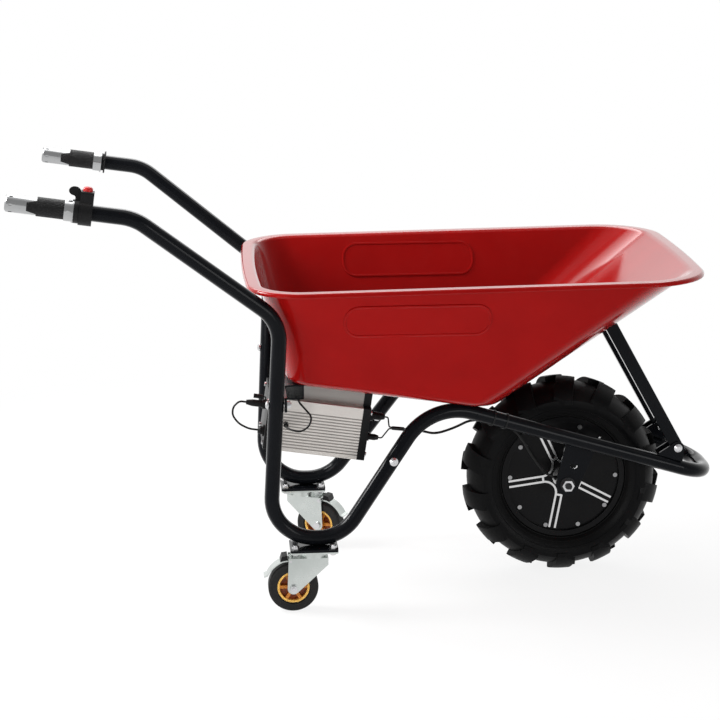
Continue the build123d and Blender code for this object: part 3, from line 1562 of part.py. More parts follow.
motor_route = [
    sleeve_front,
    sleeve_front + sleeve_run * (2 * lead_exit),
    station(276, 121, 331, -1),
    station(241, 129, 344, -1),
    below_rail(196),
    below_rail(153) - rail_up * rest_gap,
    below_rail(110),
    station(96, 116, 309, -1),
    station(79, 107, 278, -1),
    station(61, 96, 251, -1),
    gland_end + gland_run * (1.5 * lead_exit),
    gland_end,
]
motor_lead = lead(motor_route, motor_lead_diameter, "motor lead")
save(motor_lead, "motor_lead")


def tie_outline(plane, setback, growth):
    # Loop round the rail and the lead together
    spot = plane.to_local_coords(below_rail(setback))
    with BuildSketch(plane) as outline:
        Circle(tube_radius + growth)
        with Locations((spot.X, spot.Y)):
            Circle(motor_lead_diameter / 2 + growth)
        make_hull()
    return outline.sketch


with BuildPart() as cable_ties:
    for setback in tie_setbacks:
        tie_plane = Plane(rail_point(axle_x - setback, -1), z_dir=nose(-1) - shoulder(-1))
        outside = tie_outline(tie_plane, setback, rest_gap + tie_thickness)
        extrude(outside - tie_outline(tie_plane, setback, rest_gap), amount=tie_width)
save(cable_ties, "cable_ties")


# Short lead behind the case from the upper plug round to the lower socket
jumper_route = [
    behind_case(rear_plug_length, rear_plug_drop),
    behind_case(rear_plug_length + 14, rear_plug_drop),
    behind_case(rear_plug_length + 25, rear_plug_drop + 14),
    behind_case(rear_plug_length + 24, rear_plug_drop + 31),
    behind_case(rear_plug_length + 9, rear_socket_drop - 8),
    behind_case(rear_socket_length + 18, rear_socket_drop),
    behind_case(rear_socket_length, rear_socket_drop),
]
jumper_lead = lead(jumper_route, control_lead_diameter, "jumper lead")
save(jumper_lead, "jumper_lead")

# Control lead from the side of the case up into the cross bar
control_start = side_gland.from_local_coords((0, 0, gland_length))
control_end = Vector(cross_block_front - cross_block_depth / 4, -control_end_offset, cross_bar_bottom)
control_exit = control_start - Vector(0, lead_exit, 0)
control_route = [
    control_start,
    control_exit,
    control_exit + Vector(10, -10, -3),
    control_exit + Vector(28, -14, -6),
    control_exit + Vector(45, -13, 5),
    control_exit + Vector(51, -8, 23),
    control_end - Vector(0, 0, lead_exit),
    control_end,
]
control_lead = lead(control_route, control_lead_diameter, "control lead")
save(control_lead, "control_lead")
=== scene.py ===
import json
import math

import bmesh
import bpy
from mathutils import Matrix, Vector
from mathutils.bvhtree import BVHTree


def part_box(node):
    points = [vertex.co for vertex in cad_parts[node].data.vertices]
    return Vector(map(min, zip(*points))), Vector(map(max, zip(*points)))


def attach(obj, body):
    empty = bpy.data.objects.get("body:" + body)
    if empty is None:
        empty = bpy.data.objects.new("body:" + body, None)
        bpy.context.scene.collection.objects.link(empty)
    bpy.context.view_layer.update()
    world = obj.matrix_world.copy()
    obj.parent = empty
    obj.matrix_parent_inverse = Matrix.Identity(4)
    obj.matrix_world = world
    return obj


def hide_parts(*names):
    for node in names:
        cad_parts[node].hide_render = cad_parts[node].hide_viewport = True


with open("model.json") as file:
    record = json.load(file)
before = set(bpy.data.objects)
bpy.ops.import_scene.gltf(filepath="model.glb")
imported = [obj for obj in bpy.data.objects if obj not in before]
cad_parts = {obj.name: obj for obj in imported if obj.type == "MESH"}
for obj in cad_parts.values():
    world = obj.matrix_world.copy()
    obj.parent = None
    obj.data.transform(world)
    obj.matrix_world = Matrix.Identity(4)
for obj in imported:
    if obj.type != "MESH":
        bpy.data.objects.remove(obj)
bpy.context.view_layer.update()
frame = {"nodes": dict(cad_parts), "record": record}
cadNodes = frame["nodes"]

scene = bpy.context.scene
scene.view_settings.view_transform = "Standard"


# camera: yaw and pitch in degrees, measured from looking straight at the barrow's right side
cameraSettings = {
    "place": (-0.3535, -4.198, 1.489),
    "yaw": 4.47,
    "pitch": 13.76,
    "roll": -0.26,
    "lens": 105.9,
    "sensor": 36.0,
}


def placeCamera(settings):
    lens = bpy.data.cameras.new("sideCamera")
    lens.lens = settings["lens"]
    lens.sensor_width = settings["sensor"]
    camera = bpy.data.objects.new("sideCamera", lens)
    scene.collection.objects.link(camera)
    turn = Matrix.Rotation(-math.radians(settings["yaw"]), 4, "Z")
    tip = Matrix.Rotation(math.pi / 2 - math.radians(settings["pitch"]), 4, "X")
    roll = Matrix.Rotation(math.radians(settings["roll"]), 4, "Z")
    camera.matrix_world = Matrix.Translation(settings["place"]) @ turn @ tip @ roll
    scene.camera = camera


placeCamera(cameraSettings)


# lamps: place, width and height in metres, power in watts, all aimed at the tray
lampSettings = {
    "aim": (0.1, 0.0, 0.45),
    "keyLamp": ((-2.8, -2.6, 1.3), (1.8, 1.4), 38),
    "fillLamp": ((2.2, -3.2, 0.9), (1.6, 1.2), 33),
    "topLamp": ((0.2, 0.2, 3.4), (2.6, 1.4), 22),
    "rearLamp": ((-2.5, 0.5, 2.3), (1.4, 1.2), 150),
    "backLamp": ((0.0, 2.3, 2.7), (3.2, 1.5), 50),
}


def hangLamp(name, place, size, power):
    light = bpy.data.lights.new(name, "AREA")
    light.shape = "RECTANGLE"
    light.size, light.size_y = size
    light.energy = power
    lamp = bpy.data.objects.new(name, light)
    scene.collection.objects.link(lamp)
    look = Vector(lampSettings["aim"]) - Vector(place)
    lamp.matrix_world = Matrix.Translation(place) @ look.to_track_quat("-Z", "Y").to_matrix().to_4x4()


for lampName in ("keyLamp", "fillLamp", "topLamp", "rearLamp", "backLamp"):
    hangLamp(lampName, *lampSettings[lampName])
print("camera and lamps placed")


# short ways to write a node, its values and its links
def fillSockets(tree, made, values):
    for socket, value in values.items():
        if isinstance(value, bpy.types.NodeSocket):
            tree.links.new(value, made.inputs[socket])
        else:
            made.inputs[socket].default_value = value


def addNode(tree, kind, values=None, **settings):
    made = tree.nodes.new("ShaderNode" + kind)
    for key, value in settings.items():
        setattr(made, key, value)
    fillSockets(tree, made, values or {})
    return made


def mathNode(tree, operation, first, second=0.0, clamp=False):
    made = addNode(tree, "Math", {0: first, 1: second}, operation=operation, use_clamp=clamp)
    return made.outputs[0]


def mixColour(tree, factor, first, second):
    made = addNode(tree, "Mix", {0: factor, 6: first, 7: second}, data_type="RGBA")
    return made.outputs[2]


def stretchRange(tree, value, fromLow, fromHigh, toLow, toHigh):
    made = addNode(tree, "MapRange", {0: value, 1: fromLow, 2: fromHigh, 3: toLow, 4: toHigh})
    made.interpolation_type = "SMOOTHSTEP"
    return made.outputs[0]


def newGroup(name, inputs, outputs):
    group = bpy.data.node_groups.new(name, "ShaderNodeTree")
    for socketName, kind, value in inputs:
        socket = group.interface.new_socket(socketName, in_out="INPUT", socket_type="NodeSocket" + kind)
        if value is not None:
            socket.default_value = value
    for socketName in outputs:
        group.interface.new_socket(socketName, in_out="OUTPUT", socket_type="NodeSocketFloat")
    return group, group.nodes.new("NodeGroupInput"), group.nodes.new("NodeGroupOutput")


def placeGroup(tree, group, values):
    made = tree.nodes.new("ShaderNodeGroup")
    made.node_tree = group
    fillSockets(tree, made, values)
    return made


# fine surface grain, and a slow cloud that shifts tone over the piece
grainSettings = {"scale": 300.0, "detail": 3.0, "cloudScale": 9.0, "cloudDetail": 5.0, "cloudSpan": (0.3, 0.7)}


def makeMouldGrain(settings):
    group, entry, leave = newGroup(
        "mouldGrain", [("Vector", "Vector", None), ("Scale", "Float", settings["scale"]),
                       ("Cloud Scale", "Float", settings["cloudScale"])], ["Height", "Cloud"])
    place, scale, cloudScale = entry.outputs[:3]
    fine = addNode(group, "TexNoise", {"Vector": place, "Scale": scale, "Detail": settings["detail"]})
    slow = addNode(group, "TexNoise", {"Vector": place, "Scale": cloudScale, "Detail": settings["cloudDetail"]})
    group.links.new(fine.outputs[0], leave.inputs[0])
    group.links.new(stretchRange(group, slow.outputs[0], *settings["cloudSpan"], 0.0, 1.0), leave.inputs[1])
    return group


# pale dust on faces that look up, broken into patches
dustSettings = {"amount": 0.2, "upSpan": (0.1, 1.0), "upLeast": 0.15, "scale": 26.0, "detail": 6.0,
                "patchSpan": (0.42, 0.75)}


def makeSettledDust(settings):
    group, entry, leave = newGroup(
        "settledDust", [("Vector", "Vector", None), ("Amount", "Float", settings["amount"])], ["Mask"])
    facing = addNode(group, "SeparateXYZ", {0: addNode(group, "TexCoord").outputs["Normal"]})
    upward = stretchRange(group, facing.outputs[2], *settings["upSpan"], settings["upLeast"], 1.0)
    patch = addNode(group, "TexNoise", {"Vector": entry.outputs[0], "Scale": settings["scale"],
                                        "Detail": settings["detail"]})
    patchy = stretchRange(group, patch.outputs[0], *settings["patchSpan"], 0.0, 1.0)
    dust = mathNode(group, "MULTIPLY", mathNode(group, "MULTIPLY", upward, patchy), entry.outputs[1], True)
    group.links.new(dust, leave.inputs[0])
    return group


# rubbed corners, found from how far a rounded normal turns away from the true one
edgeSettings = {"radius": 0.0015, "amount": 0.5, "samples": 4, "cornerSpan": (0.97, 0.82), "scale": 60.0,
                "detail": 4.0, "brokenSpan": (0.4, 0.65), "brokenLeast": 0.1}


def makeWornEdge(settings):
    group, entry, leave = newGroup(
        "wornEdge", [("Vector", "Vector", None), ("Radius", "Float", settings["radius"]),
                     ("Amount", "Float", settings["amount"])], ["Mask"])
    rounded = addNode(group, "Bevel", {"Radius": entry.outputs[1]}, samples=settings["samples"])
    trueNormal = addNode(group, "NewGeometry").outputs["Normal"]
    match = addNode(group, "VectorMath", {0: rounded.outputs[0], 1: trueNormal}, operation="DOT_PRODUCT")
    corner = stretchRange(group, match.outputs["Value"], *settings["cornerSpan"], 0.0, 1.0)
    noise = addNode(group, "TexNoise", {"Vector": entry.outputs[0], "Scale": settings["scale"],
                                        "Detail": settings["detail"]})
    broken = stretchRange(group, noise.outputs[0], *settings["brokenSpan"], settings["brokenLeast"], 1.0)
    rubbed = mathNode(group, "MULTIPLY", corner, broken)
    group.links.new(mathNode(group, "MULTIPLY", rubbed, entry.outputs[2], True), leave.inputs[0])
    return group


# fine lines drawn along one direction, as on brushed or extruded metal
lineSettings = {"stretch": (4.0, 400.0, 400.0), "detail": 3.0, "toneSpan": (0.3, 0.7)}


def makeDrawnLines(settings):
    group, entry, leave = newGroup(
        "drawnLines", [("Vector", "Vector", None), ("Stretch", "Vector", settings["stretch"])], ["Height", "Tone"])
    pulled = addNode(group, "VectorMath", {0: entry.outputs[0], 1: entry.outputs[1]}, operation="MULTIPLY")
    lines = addNode(group, "TexNoise", {"Vector": pulled.outputs[0], "Scale": 1.0, "Detail": settings["detail"]})
    group.links.new(lines.outputs[0], leave.inputs[0])
    group.links.new(stretchRange(group, lines.outputs[0], *settings["toneSpan"], 0.0, 1.0), leave.inputs[1])
    return group


def makeWheelRadius():  # distance out from a wheel's axis, and distance along it
    group, entry, leave = newGroup(
        "wheelRadius", [("Vector", "Vector", None), ("Centre", "Vector", (0.0, 0.0, 0.0))], ["Radius", "Side"])
    offset = addNode(group, "VectorMath", {0: entry.outputs[0], 1: entry.outputs[1]}, operation="SUBTRACT")
    parts = addNode(group, "SeparateXYZ", {0: offset.outputs[0]})
    flat = addNode(group, "CombineXYZ", {0: parts.outputs[0], 2: parts.outputs[2]})
    radius = addNode(group, "VectorMath", {0: flat.outputs[0]}, operation="LENGTH")
    group.links.new(radius.outputs["Value"], leave.inputs[0])
    group.links.new(mathNode(group, "ABSOLUTE", parts.outputs[1]), leave.inputs[1])
    return group


mouldGrain = makeMouldGrain(grainSettings)
settledDust = makeSettledDust(dustSettings)
wornEdge = makeWornEdge(edgeSettings)
drawnLines = makeDrawnLines(lineSettings)
wheelRadius = makeWheelRadius()
print("shader groups built")


# finishes: base and second colour, roughness low and high, and how much grain, dust and edge rub each one has;
# gloss is the glance where a clear coat starts and where it is full, and its full weight
finishSettings = {
    "framePaint": {"base": (0.0036, 0.0042, 0.0056, 1), "second": (0.0052, 0.0058, 0.0072, 1), "rough": (0.12, 0.2),
                   "specular": 0.08, "grain": 420, "depth": 0.00002, "dust": 0.01, "rub": 0.03,
                   "gloss": (0.3, 0.75, 0.7), "glossRough": 0.1, "glossIor": 1.5},
    "trayRed": {"base": (0.29, 0.0046, 0.0042, 1), "second": (0.26, 0.0038, 0.0035, 1), "rough": (0.1, 0.16),
                "specular": 0.06, "grain": 60, "depth": 0.00008, "dust": 0.01, "rub": 0.04,
                "rubColour": (0.5, 0.06, 0.055, 1), "gloss": (0.28, 0.78, 1.0), "glossRough": 0.12, "glossIor": 1.7},
    "zincPlate": {"base": (0.7, 0.735, 0.715, 1), "second": (0.5, 0.535, 0.515, 1), "rough": (0.2, 0.36),
                  "metal": 1.0, "grain": 260, "depth": 0.0001, "dust": 0.03, "rub": 0.2,
                  "rubColour": (0.7, 0.7, 0.7, 1)},
    "darkSteel": {"base": (0.36, 0.36, 0.365, 1), "second": (0.26, 0.26, 0.265, 1), "rough": (0.2, 0.34),
                  "metal": 1.0, "grain": 500, "depth": 0.00008, "dust": 0.02, "rub": 0.1},
    "boltSteel": {"base": (0.74, 0.74, 0.75, 1), "second": (0.6, 0.6, 0.61, 1), "rough": (0.18, 0.32),
                  "metal": 1.0, "grain": 500, "depth": 0.00008, "dust": 0.02, "rub": 0.1},
    "blackPlastic": {"base": (0.005, 0.005, 0.0055, 1), "second": (0.008, 0.008, 0.0085, 1), "rough": (0.3, 0.42),
                     "specular": 0.16, "grain": 700, "depth": 0.0002, "dust": 0.02, "rub": 0.06,
                     "rubColour": (0.05, 0.05, 0.05, 1)},
    "gripMetal": {"base": (0.52, 0.525, 0.53, 1), "second": (0.4, 0.405, 0.41, 1), "rough": (0.16, 0.26),
                  "metal": 1.0, "grain": 480, "depth": 0.0001, "dust": 0.02, "rub": 0.2},
    "buttonRed": {"base": (0.5, 0.012, 0.012, 1), "second": (0.42, 0.01, 0.01, 1), "rough": (0.22, 0.34),
                  "specular": 0.3, "grain": 800, "depth": 0.0001, "dust": 0.01, "rub": 0.05,
                  "rubColour": (0.6, 0.1, 0.1, 1)},
    "boxBlack": {"base": (0.012, 0.012, 0.013, 1), "second": (0.02, 0.02, 0.021, 1), "rough": (0.34, 0.46),
                 "metal": 0.6, "grain": 520, "depth": 0.0001, "dust": 0.02, "rub": 0.15},
    "motorIron": {"base": (0.25, 0.23, 0.22, 1), "second": (0.16, 0.15, 0.14, 1), "rough": (0.4, 0.6),
                  "metal": 0.8, "grain": 600, "depth": 0.0003, "dust": 0.1, "rub": 0.2},
    "leadRubber": {"base": (0.005, 0.005, 0.005, 1), "second": (0.008, 0.008, 0.008, 1), "rough": (0.36, 0.5),
                   "specular": 0.2, "grain": 700, "depth": 0.00015, "dust": 0.02, "rub": 0.0},
    "packFilm": {"base": (0.05, 0.06, 0.1, 1), "second": (0.04, 0.05, 0.08, 1), "rough": (0.25, 0.4),
                 "specular": 0.4, "grain": 200, "depth": 0.0004, "dust": 0.05, "rub": 0.1},
    "casterRubber": {"base": (0.012, 0.0118, 0.0115, 1), "second": (0.018, 0.0175, 0.017, 1), "rough": (0.45, 0.6),
                     "specular": 0.15, "grain": 500, "depth": 0.0003, "dust": 0.04, "rub": 0.1,
                     "rubColour": (0.05, 0.05, 0.05, 1)},
}
bareMetal = (0.55, 0.55, 0.56, 1.0)
dustColour = (0.34, 0.30, 0.26, 1.0)
dustRough = 0.4  # how much duller a surface gets under full dust


def startFinish(name):
    material = bpy.data.materials.new(name)
    material.use_nodes = True
    tree = material.node_tree
    tree.nodes.clear()
    shader = addNode(tree, "BsdfPrincipled")
    surface = addNode(tree, "OutputMaterial")
    tree.links.new(shader.outputs[0], surface.inputs[0])
    place = addNode(tree, "TexCoord").outputs["Object"]
    return material, tree, shader, place


def bumpNode(tree, height, depth, below=None):
    made = addNode(tree, "Bump", {"Strength": 1.0, "Distance": depth, "Height": height})
    if below is not None:
        tree.links.new(below, made.inputs["Normal"])
    return made.outputs[0]


def glossEdge(tree, shader, start, full, weight):  # clear gloss that only shows at a glancing angle
    glance = addNode(tree, "LayerWeight", {"Blend": 0.5}).outputs["Facing"]
    tree.links.new(stretchRange(tree, glance, start, full, 0.0, weight), shader.inputs["Coat Weight"])


# the layers that every finish shares; a finish of its own adds to the colour, roughness or normal it gets back
def layFinish(name, settings):
    material, tree, shader, place = startFinish(name)
    grain = placeGroup(tree, mouldGrain, {"Vector": place, "Scale": settings["grain"]})
    dust = placeGroup(tree, settledDust, {"Vector": place, "Amount": settings["dust"]}).outputs[0]
    colour = mixColour(tree, grain.outputs["Cloud"], settings["base"], settings["second"])
    rough = stretchRange(tree, grain.outputs["Cloud"], 0.0, 1.0, *settings["rough"])
    if settings["rub"] > 0:
        edge = placeGroup(tree, wornEdge, {"Vector": place, "Amount": settings["rub"]}).outputs[0]
        colour = mixColour(tree, edge, colour, settings.get("rubColour", bareMetal))
    colour = mixColour(tree, dust, colour, dustColour)
    rough = mathNode(tree, "ADD", rough, mathNode(tree, "MULTIPLY", dust, dustRough), True)
    normal = bumpNode(tree, grain.outputs["Height"], settings["depth"])
    shader.inputs["Metallic"].default_value = settings.get("metal", 0.0)
    shader.inputs["Specular IOR Level"].default_value = settings.get("specular", 0.5)
    if "gloss" in settings:
        glossEdge(tree, shader, *settings["gloss"])
        shader.inputs["Coat Roughness"].default_value = settings["glossRough"]
        shader.inputs["Coat IOR"].default_value = settings["glossIor"]
    return material, tree, shader, place, colour, rough, normal


def closeFinish(tree, shader, colour, rough, normal):
    tree.links.new(colour, shader.inputs["Base Color"])
    tree.links.new(rough, shader.inputs["Roughness"])
    tree.links.new(normal, shader.inputs["Normal"])


def plainFinish(name):
    material, tree, shader, place, colour, rough, normal = layFinish(name, finishSettings[name])
    closeFinish(tree, shader, colour, rough, normal)
    return material


finishes = {name: plainFinish(name) for name in finishSettings}


# battery case: satin extrusion with lines drawn along its length, and painted shade darkening the grooves in its side
# faces
caseSettings = {"base": (0.74, 0.70, 0.665, 1), "second": (0.66, 0.625, 0.59, 1), "rough": (0.26, 0.36),
                "metal": 0.9, "grain": 500, "depth": 0.00006, "dust": 0.02, "rub": 0.1,
                "tilt": 8.5, "stretch": (5.0, 620.0, 620.0), "lineRough": 0.12, "lineDepth": 0.0001,
                "face": 0.08, "sideSpan": (0.6, 0.8), "grooveDeep": 0.0012, "grooveTop": 0.0004,
                "grooveShadeColour": (0.32, 0.3, 0.285, 1)}
# hanger: the same metal, darker and redder, as painted shade and a painted red reflection of the tray above it
shadedHangerSettings = {**caseSettings, "base": (0.36, 0.31, 0.3, 1), "second": (0.3, 0.26, 0.25, 1)}


def makeCaseAluminium(name, settings):
    material, tree, shader, place, colour, rough, normal = layFinish(name, settings)
    tilted = addNode(tree, "Mapping", {"Vector": place, "Rotation": (0, -math.radians(settings["tilt"]), 0)})
    lines = placeGroup(tree, drawnLines, {"Vector": tilted.outputs[0], "Stretch": settings["stretch"]})
    across = addNode(tree, "SeparateXYZ", {0: addNode(tree, "TexCoord").outputs["Normal"]}).outputs[1]
    sideFace = stretchRange(tree, mathNode(tree, "ABSOLUTE", across), *settings["sideSpan"], 0.0, 1.0)
    depth = mathNode(tree, "ABSOLUTE", addNode(tree, "SeparateXYZ", {0: place}).outputs[1])
    face = settings["face"]
    # painted shade: the grooves in the side faces take a darker colour
    grooveShade = stretchRange(tree, depth, face - settings["grooveDeep"], face - settings["grooveTop"], 1.0, 0.0)
    colour = mixColour(tree, mathNode(tree, "MULTIPLY", grooveShade, sideFace), colour, settings["grooveShadeColour"])
    drawn = mathNode(tree, "MULTIPLY", lines.outputs["Tone"], settings["lineRough"])
    rough = mathNode(tree, "ADD", rough, drawn, True)
    normal = bumpNode(tree, lines.outputs["Height"], settings["lineDepth"], normal)
    closeFinish(tree, shader, colour, rough, normal)
    return material


finishes["caseAluminium"] = makeCaseAluminium("caseAluminium", caseSettings)
finishes["shadedHangerAluminium"] = makeCaseAluminium("shadedHangerAluminium", shadedHangerSettings)


# grips: soft black rubber with a fine diamond knurl that winds round the handle
gripSettings = {"base": (0.006, 0.006, 0.0064, 1), "second": (0.009, 0.009, 0.0094, 1), "rough": (0.5, 0.62),
                "specular": 0.2, "grain": 900, "depth": 0.0002, "dust": 0.02, "rub": 0.06,
                "rubColour": (0.04, 0.04, 0.04, 1), "axis": (-0.989526, 0.0, 0.144356),
                "across": (0.144356, 0.0, 0.989526), "axisLevel": 0.73793, "axisSide": 0.321,
                "starts": 22.0, "pitch": 0.0042, "knurl": 0.0005, "knurlSpan": (-0.6, 0.4), "knurlRough": -0.12}


def makeGripRubber(settings):
    material, tree, shader, place, colour, rough, normal = layFinish("gripRubber", settings)
    along = addNode(tree, "VectorMath", {0: place, 1: settings["axis"]}, operation="DOT_PRODUCT").outputs["Value"]
    lift = addNode(tree, "VectorMath", {0: place, 1: settings["across"]}, operation="DOT_PRODUCT").outputs["Value"]
    lift = mathNode(tree, "SUBTRACT", lift, settings["axisLevel"])
    wide = mathNode(tree, "ABSOLUTE", addNode(tree, "SeparateXYZ", {0: place}).outputs[1])
    wide = mathNode(tree, "SUBTRACT", wide, settings["axisSide"])
    turn = mathNode(tree, "MULTIPLY", mathNode(tree, "ARCTAN2", lift, wide), settings["starts"])
    climb = mathNode(tree, "MULTIPLY", along, 2 * math.pi / settings["pitch"])
    oneWay = mathNode(tree, "SINE", mathNode(tree, "ADD", turn, climb))
    otherWay = mathNode(tree, "SINE", mathNode(tree, "SUBTRACT", turn, climb))
    diamond = mathNode(tree, "MULTIPLY", oneWay, otherWay)
    raised = stretchRange(tree, diamond, *settings["knurlSpan"], 0.0, 1.0)
    rough = mathNode(tree, "ADD", rough, mathNode(tree, "MULTIPLY", raised, settings["knurlRough"]), True)
    normal = bumpNode(tree, raised, settings["knurl"], normal)
    closeFinish(tree, shader, colour, rough, normal)
    return material


finishes["gripRubber"] = makeGripRubber(gripSettings)


# where the drive wheel's axle lies
driveCentre = (0.3925, 0.0, 0.208)


# drive tyre: matt rubber, browner low in the tread; spans are distances out from the axle and along it
tyreSettings = {"base": (0.0022, 0.0023, 0.0026, 1), "second": (0.0034, 0.0034, 0.0037, 1), "rough": (0.36, 0.48),
                "specular": 0.08, "grain": 500, "depth": 0.0003, "dust": 0.01, "rub": 0.12,
                "rubColour": (0.02, 0.02, 0.02, 1), "lowSpan": (0.175, 0.19), "lowAmount": 0.35,
                "treadSpan": (0.045, 0.055), "lowColour": (0.006, 0.0058, 0.0055, 1)}


def makeTyreRubber(settings):
    material, tree, shader, place, colour, rough, normal = layFinish("tyreRubber", settings)
    wheel = placeGroup(tree, wheelRadius, {"Vector": place, "Centre": driveCentre})
    low = stretchRange(tree, wheel.outputs["Radius"], *settings["lowSpan"], settings["lowAmount"], 0.0)
    tread = stretchRange(tree, wheel.outputs["Side"], *settings["treadSpan"], 1.0, 0.0)
    colour = mixColour(tree, mathNode(tree, "MULTIPLY", low, tread), colour, settings["lowColour"])
    closeFinish(tree, shader, colour, rough, normal)
    return material


finishes["tyreRubber"] = makeTyreRubber(tyreSettings)


# hub covers: satin black, bright on top of the machined ribs
hubSettings = {"base": (0.004, 0.004, 0.0044, 1), "second": (0.006, 0.006, 0.0064, 1), "rough": (0.2, 0.3),
               "specular": 0.1, "grain": 380, "depth": 0.00006, "dust": 0.01, "rub": 0.04,
               "bright": (0.7, 0.7, 0.7, 1), "ribSpan": (0.032, 0.0325), "coverSpan": (0.1155, 0.1165)}


def makeHubBlack(settings):
    material, tree, shader, place, colour, rough, normal = layFinish("hubBlack", settings)
    wheel = placeGroup(tree, wheelRadius, {"Vector": place, "Centre": driveCentre})
    raised = stretchRange(tree, wheel.outputs["Side"], *settings["ribSpan"], 0.0, 1.0)
    within = stretchRange(tree, wheel.outputs["Radius"], *settings["coverSpan"], 1.0, 0.0)
    bright = mathNode(tree, "MULTIPLY", raised, within)
    colour = mixColour(tree, bright, colour, settings["bright"])
    tree.links.new(bright, shader.inputs["Metallic"])
    closeFinish(tree, shader, colour, rough, normal)
    return material


finishes["hubBlack"] = makeHubBlack(hubSettings)


# caster cores: gold band inside a dark bead; the spokes darkened to amber and the pockets between them to brown, both
# as painted shade;
# spans are distances out from the axle, and along it for the pockets
coreSettings = {"base": (0.84, 0.5, 0.11, 1), "second": (0.76, 0.42, 0.08, 1), "rough": (0.24, 0.36),
                "specular": 0.3, "grain": 420, "depth": 0.0001, "dust": 0.02, "rub": 0.1,
                "rubColour": (0.9, 0.6, 0.2, 1), "shadedSpoke": (0.48, 0.17, 0.02, 1), "spokeSpan": (0.0272, 0.028),
                "pocket": (0.24, 0.05, 0.008, 1), "pocketSpan": (0.0042, 0.0062),
                "bead": (0.012, 0.0118, 0.0115, 1), "beadSpan": (0.0317, 0.0323)}


def makeCorePlastic(name, node, turn, settings):
    material, tree, shader, place, colour, rough, normal = layFinish(name, settings)
    low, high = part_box(node)
    centre = [(low[axis] + high[axis]) / 2 for axis in range(3)]
    straight = addNode(tree, "VectorRotate", {"Vector": place, "Center": centre, "Angle": math.radians(turn)},
                       rotation_type="Z_AXIS")
    wheel = placeGroup(tree, wheelRadius, {"Vector": straight.outputs[0], "Centre": centre})
    shadedSpoke = stretchRange(tree, wheel.outputs["Radius"], *settings["spokeSpan"], 1.0, 0.0)
    pocket = stretchRange(tree, wheel.outputs["Side"], *settings["pocketSpan"], 1.0, 0.0)
    bead = stretchRange(tree, wheel.outputs["Radius"], *settings["beadSpan"], 0.0, 1.0)
    # painted shade: spokes and pockets darker than the gold band
    colour = mixColour(tree, shadedSpoke, colour, settings["shadedSpoke"])
    colour = mixColour(tree, pocket, colour, settings["pocket"])
    colour = mixColour(tree, bead, colour, settings["bead"])
    closeFinish(tree, shader, colour, rough, normal)
    return material


casterTurns = {"right": 0.0, "left": 25.0}  # degrees that each caster's axle is swung from straight across
for side, turn in casterTurns.items():
    coreName = side + "CorePlastic"
    finishes[coreName] = makeCorePlastic(coreName, side + "_caster_core", turn, coreSettings)
print("finishes made:", len(finishes))


# which finish each CAD slot takes
slotFinish = {
    "frame_paint": "framePaint",
    "tray_plastic": "trayRed",
    "zinc": "zincPlate",
    "bolt_steel": "boltSteel",
    "case_aluminium": "caseAluminium",
    "black_plastic": "blackPlastic",
    "grip_rubber": "gripRubber",
    "grip_metal": "gripMetal",
    "button_red": "buttonRed",
    "tyre_rubber": "tyreRubber",
    "rim_paint": "hubBlack",
    "motor_iron": "motorIron",
    "core_plastic": "rightCorePlastic",
    "caster_rubber": "casterRubber",
    "lead_rubber": "leadRubber",
    "pack_film": "packFilm",
}


def dressNode(name, finish):
    mesh = cadNodes[name].data
    mesh.materials.clear()
    mesh.materials.append(finishes[finish])


for subpart in frame["record"]["subparts"]:
    dressNode(subpart["node"], slotFinish[subpart["material_slot"]])
dressNode("left_caster_core", "leftCorePlastic")
dressNode("motor_controller", "boxBlack")
# the hanger takes the darker, redder copy of the case metal: painted shade and a painted red reflection
dressNode("hanger", "shadedHangerAluminium")
dressNode("cover_screws", "darkSteel")
for fixing in ("axle", "axle_washers"):
    dressNode(fixing, "boxBlack")
print("nodes dressed")


def keepPiece(shape, name, finish, body, sharpFrom):
    mesh = bpy.data.meshes.new(name)
    shape.to_mesh(mesh)
    shape.free()
    mesh.materials.append(finishes[finish])
    mesh.shade_smooth()
    mesh.set_sharp_from_angle(angle=math.radians(sharpFrom))
    piece = bpy.data.objects.new(name, mesh)
    scene.collection.objects.link(piece)
    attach(piece, body)
    return piece


def once(items):  # each item one time, in the order met, so that every run puts its points in the same places
    return list(dict.fromkeys(items))


# closed wire with rounded corners; its long straights are cut up so that both ends can bow outward
ringSettings = {"cornerSteps": 10, "straightFrom": 0.12, "straightCuts": 11}


def addRing(shape, place, length, width, bow, corners):
    earlier = len(shape.verts)
    start = bmesh.ops.create_grid(shape, x_segments=1, y_segments=1, size=0.5)["verts"]
    bmesh.ops.scale(shape, vec=(length, width, 1.0), verts=start)
    front = [vert for vert in start if vert.co.x > 0]
    rear = [vert for vert in start if vert.co.x < 0]
    for pair, radius in zip((front, rear), corners):
        bmesh.ops.bevel(shape, geom=pair, offset=radius, segments=ringSettings["cornerSteps"], profile=0.5,
                        affect="VERTICES", material=-1)
    ring = list(shape.verts)[earlier:]
    inside = once(face for vert in ring for face in vert.link_faces)
    bmesh.ops.delete(shape, geom=inside, context="FACES_ONLY")
    edges = once(edge for vert in ring for edge in vert.link_edges)
    straight = [edge for edge in edges if edge.calc_length() > ringSettings["straightFrom"]]
    bmesh.ops.subdivide_edges(shape, edges=straight, cuts=ringSettings["straightCuts"])
    ring = list(shape.verts)[earlier:]
    for vert in ring:
        out = bow * (2 * vert.co.y / width) ** 2 * (2 * vert.co.x / length) ** 2
        vert.co.x -= math.copysign(out, vert.co.x)
    bmesh.ops.transform(shape, matrix=place, verts=ring)
    return once(edge for vert in ring for edge in vert.link_edges)


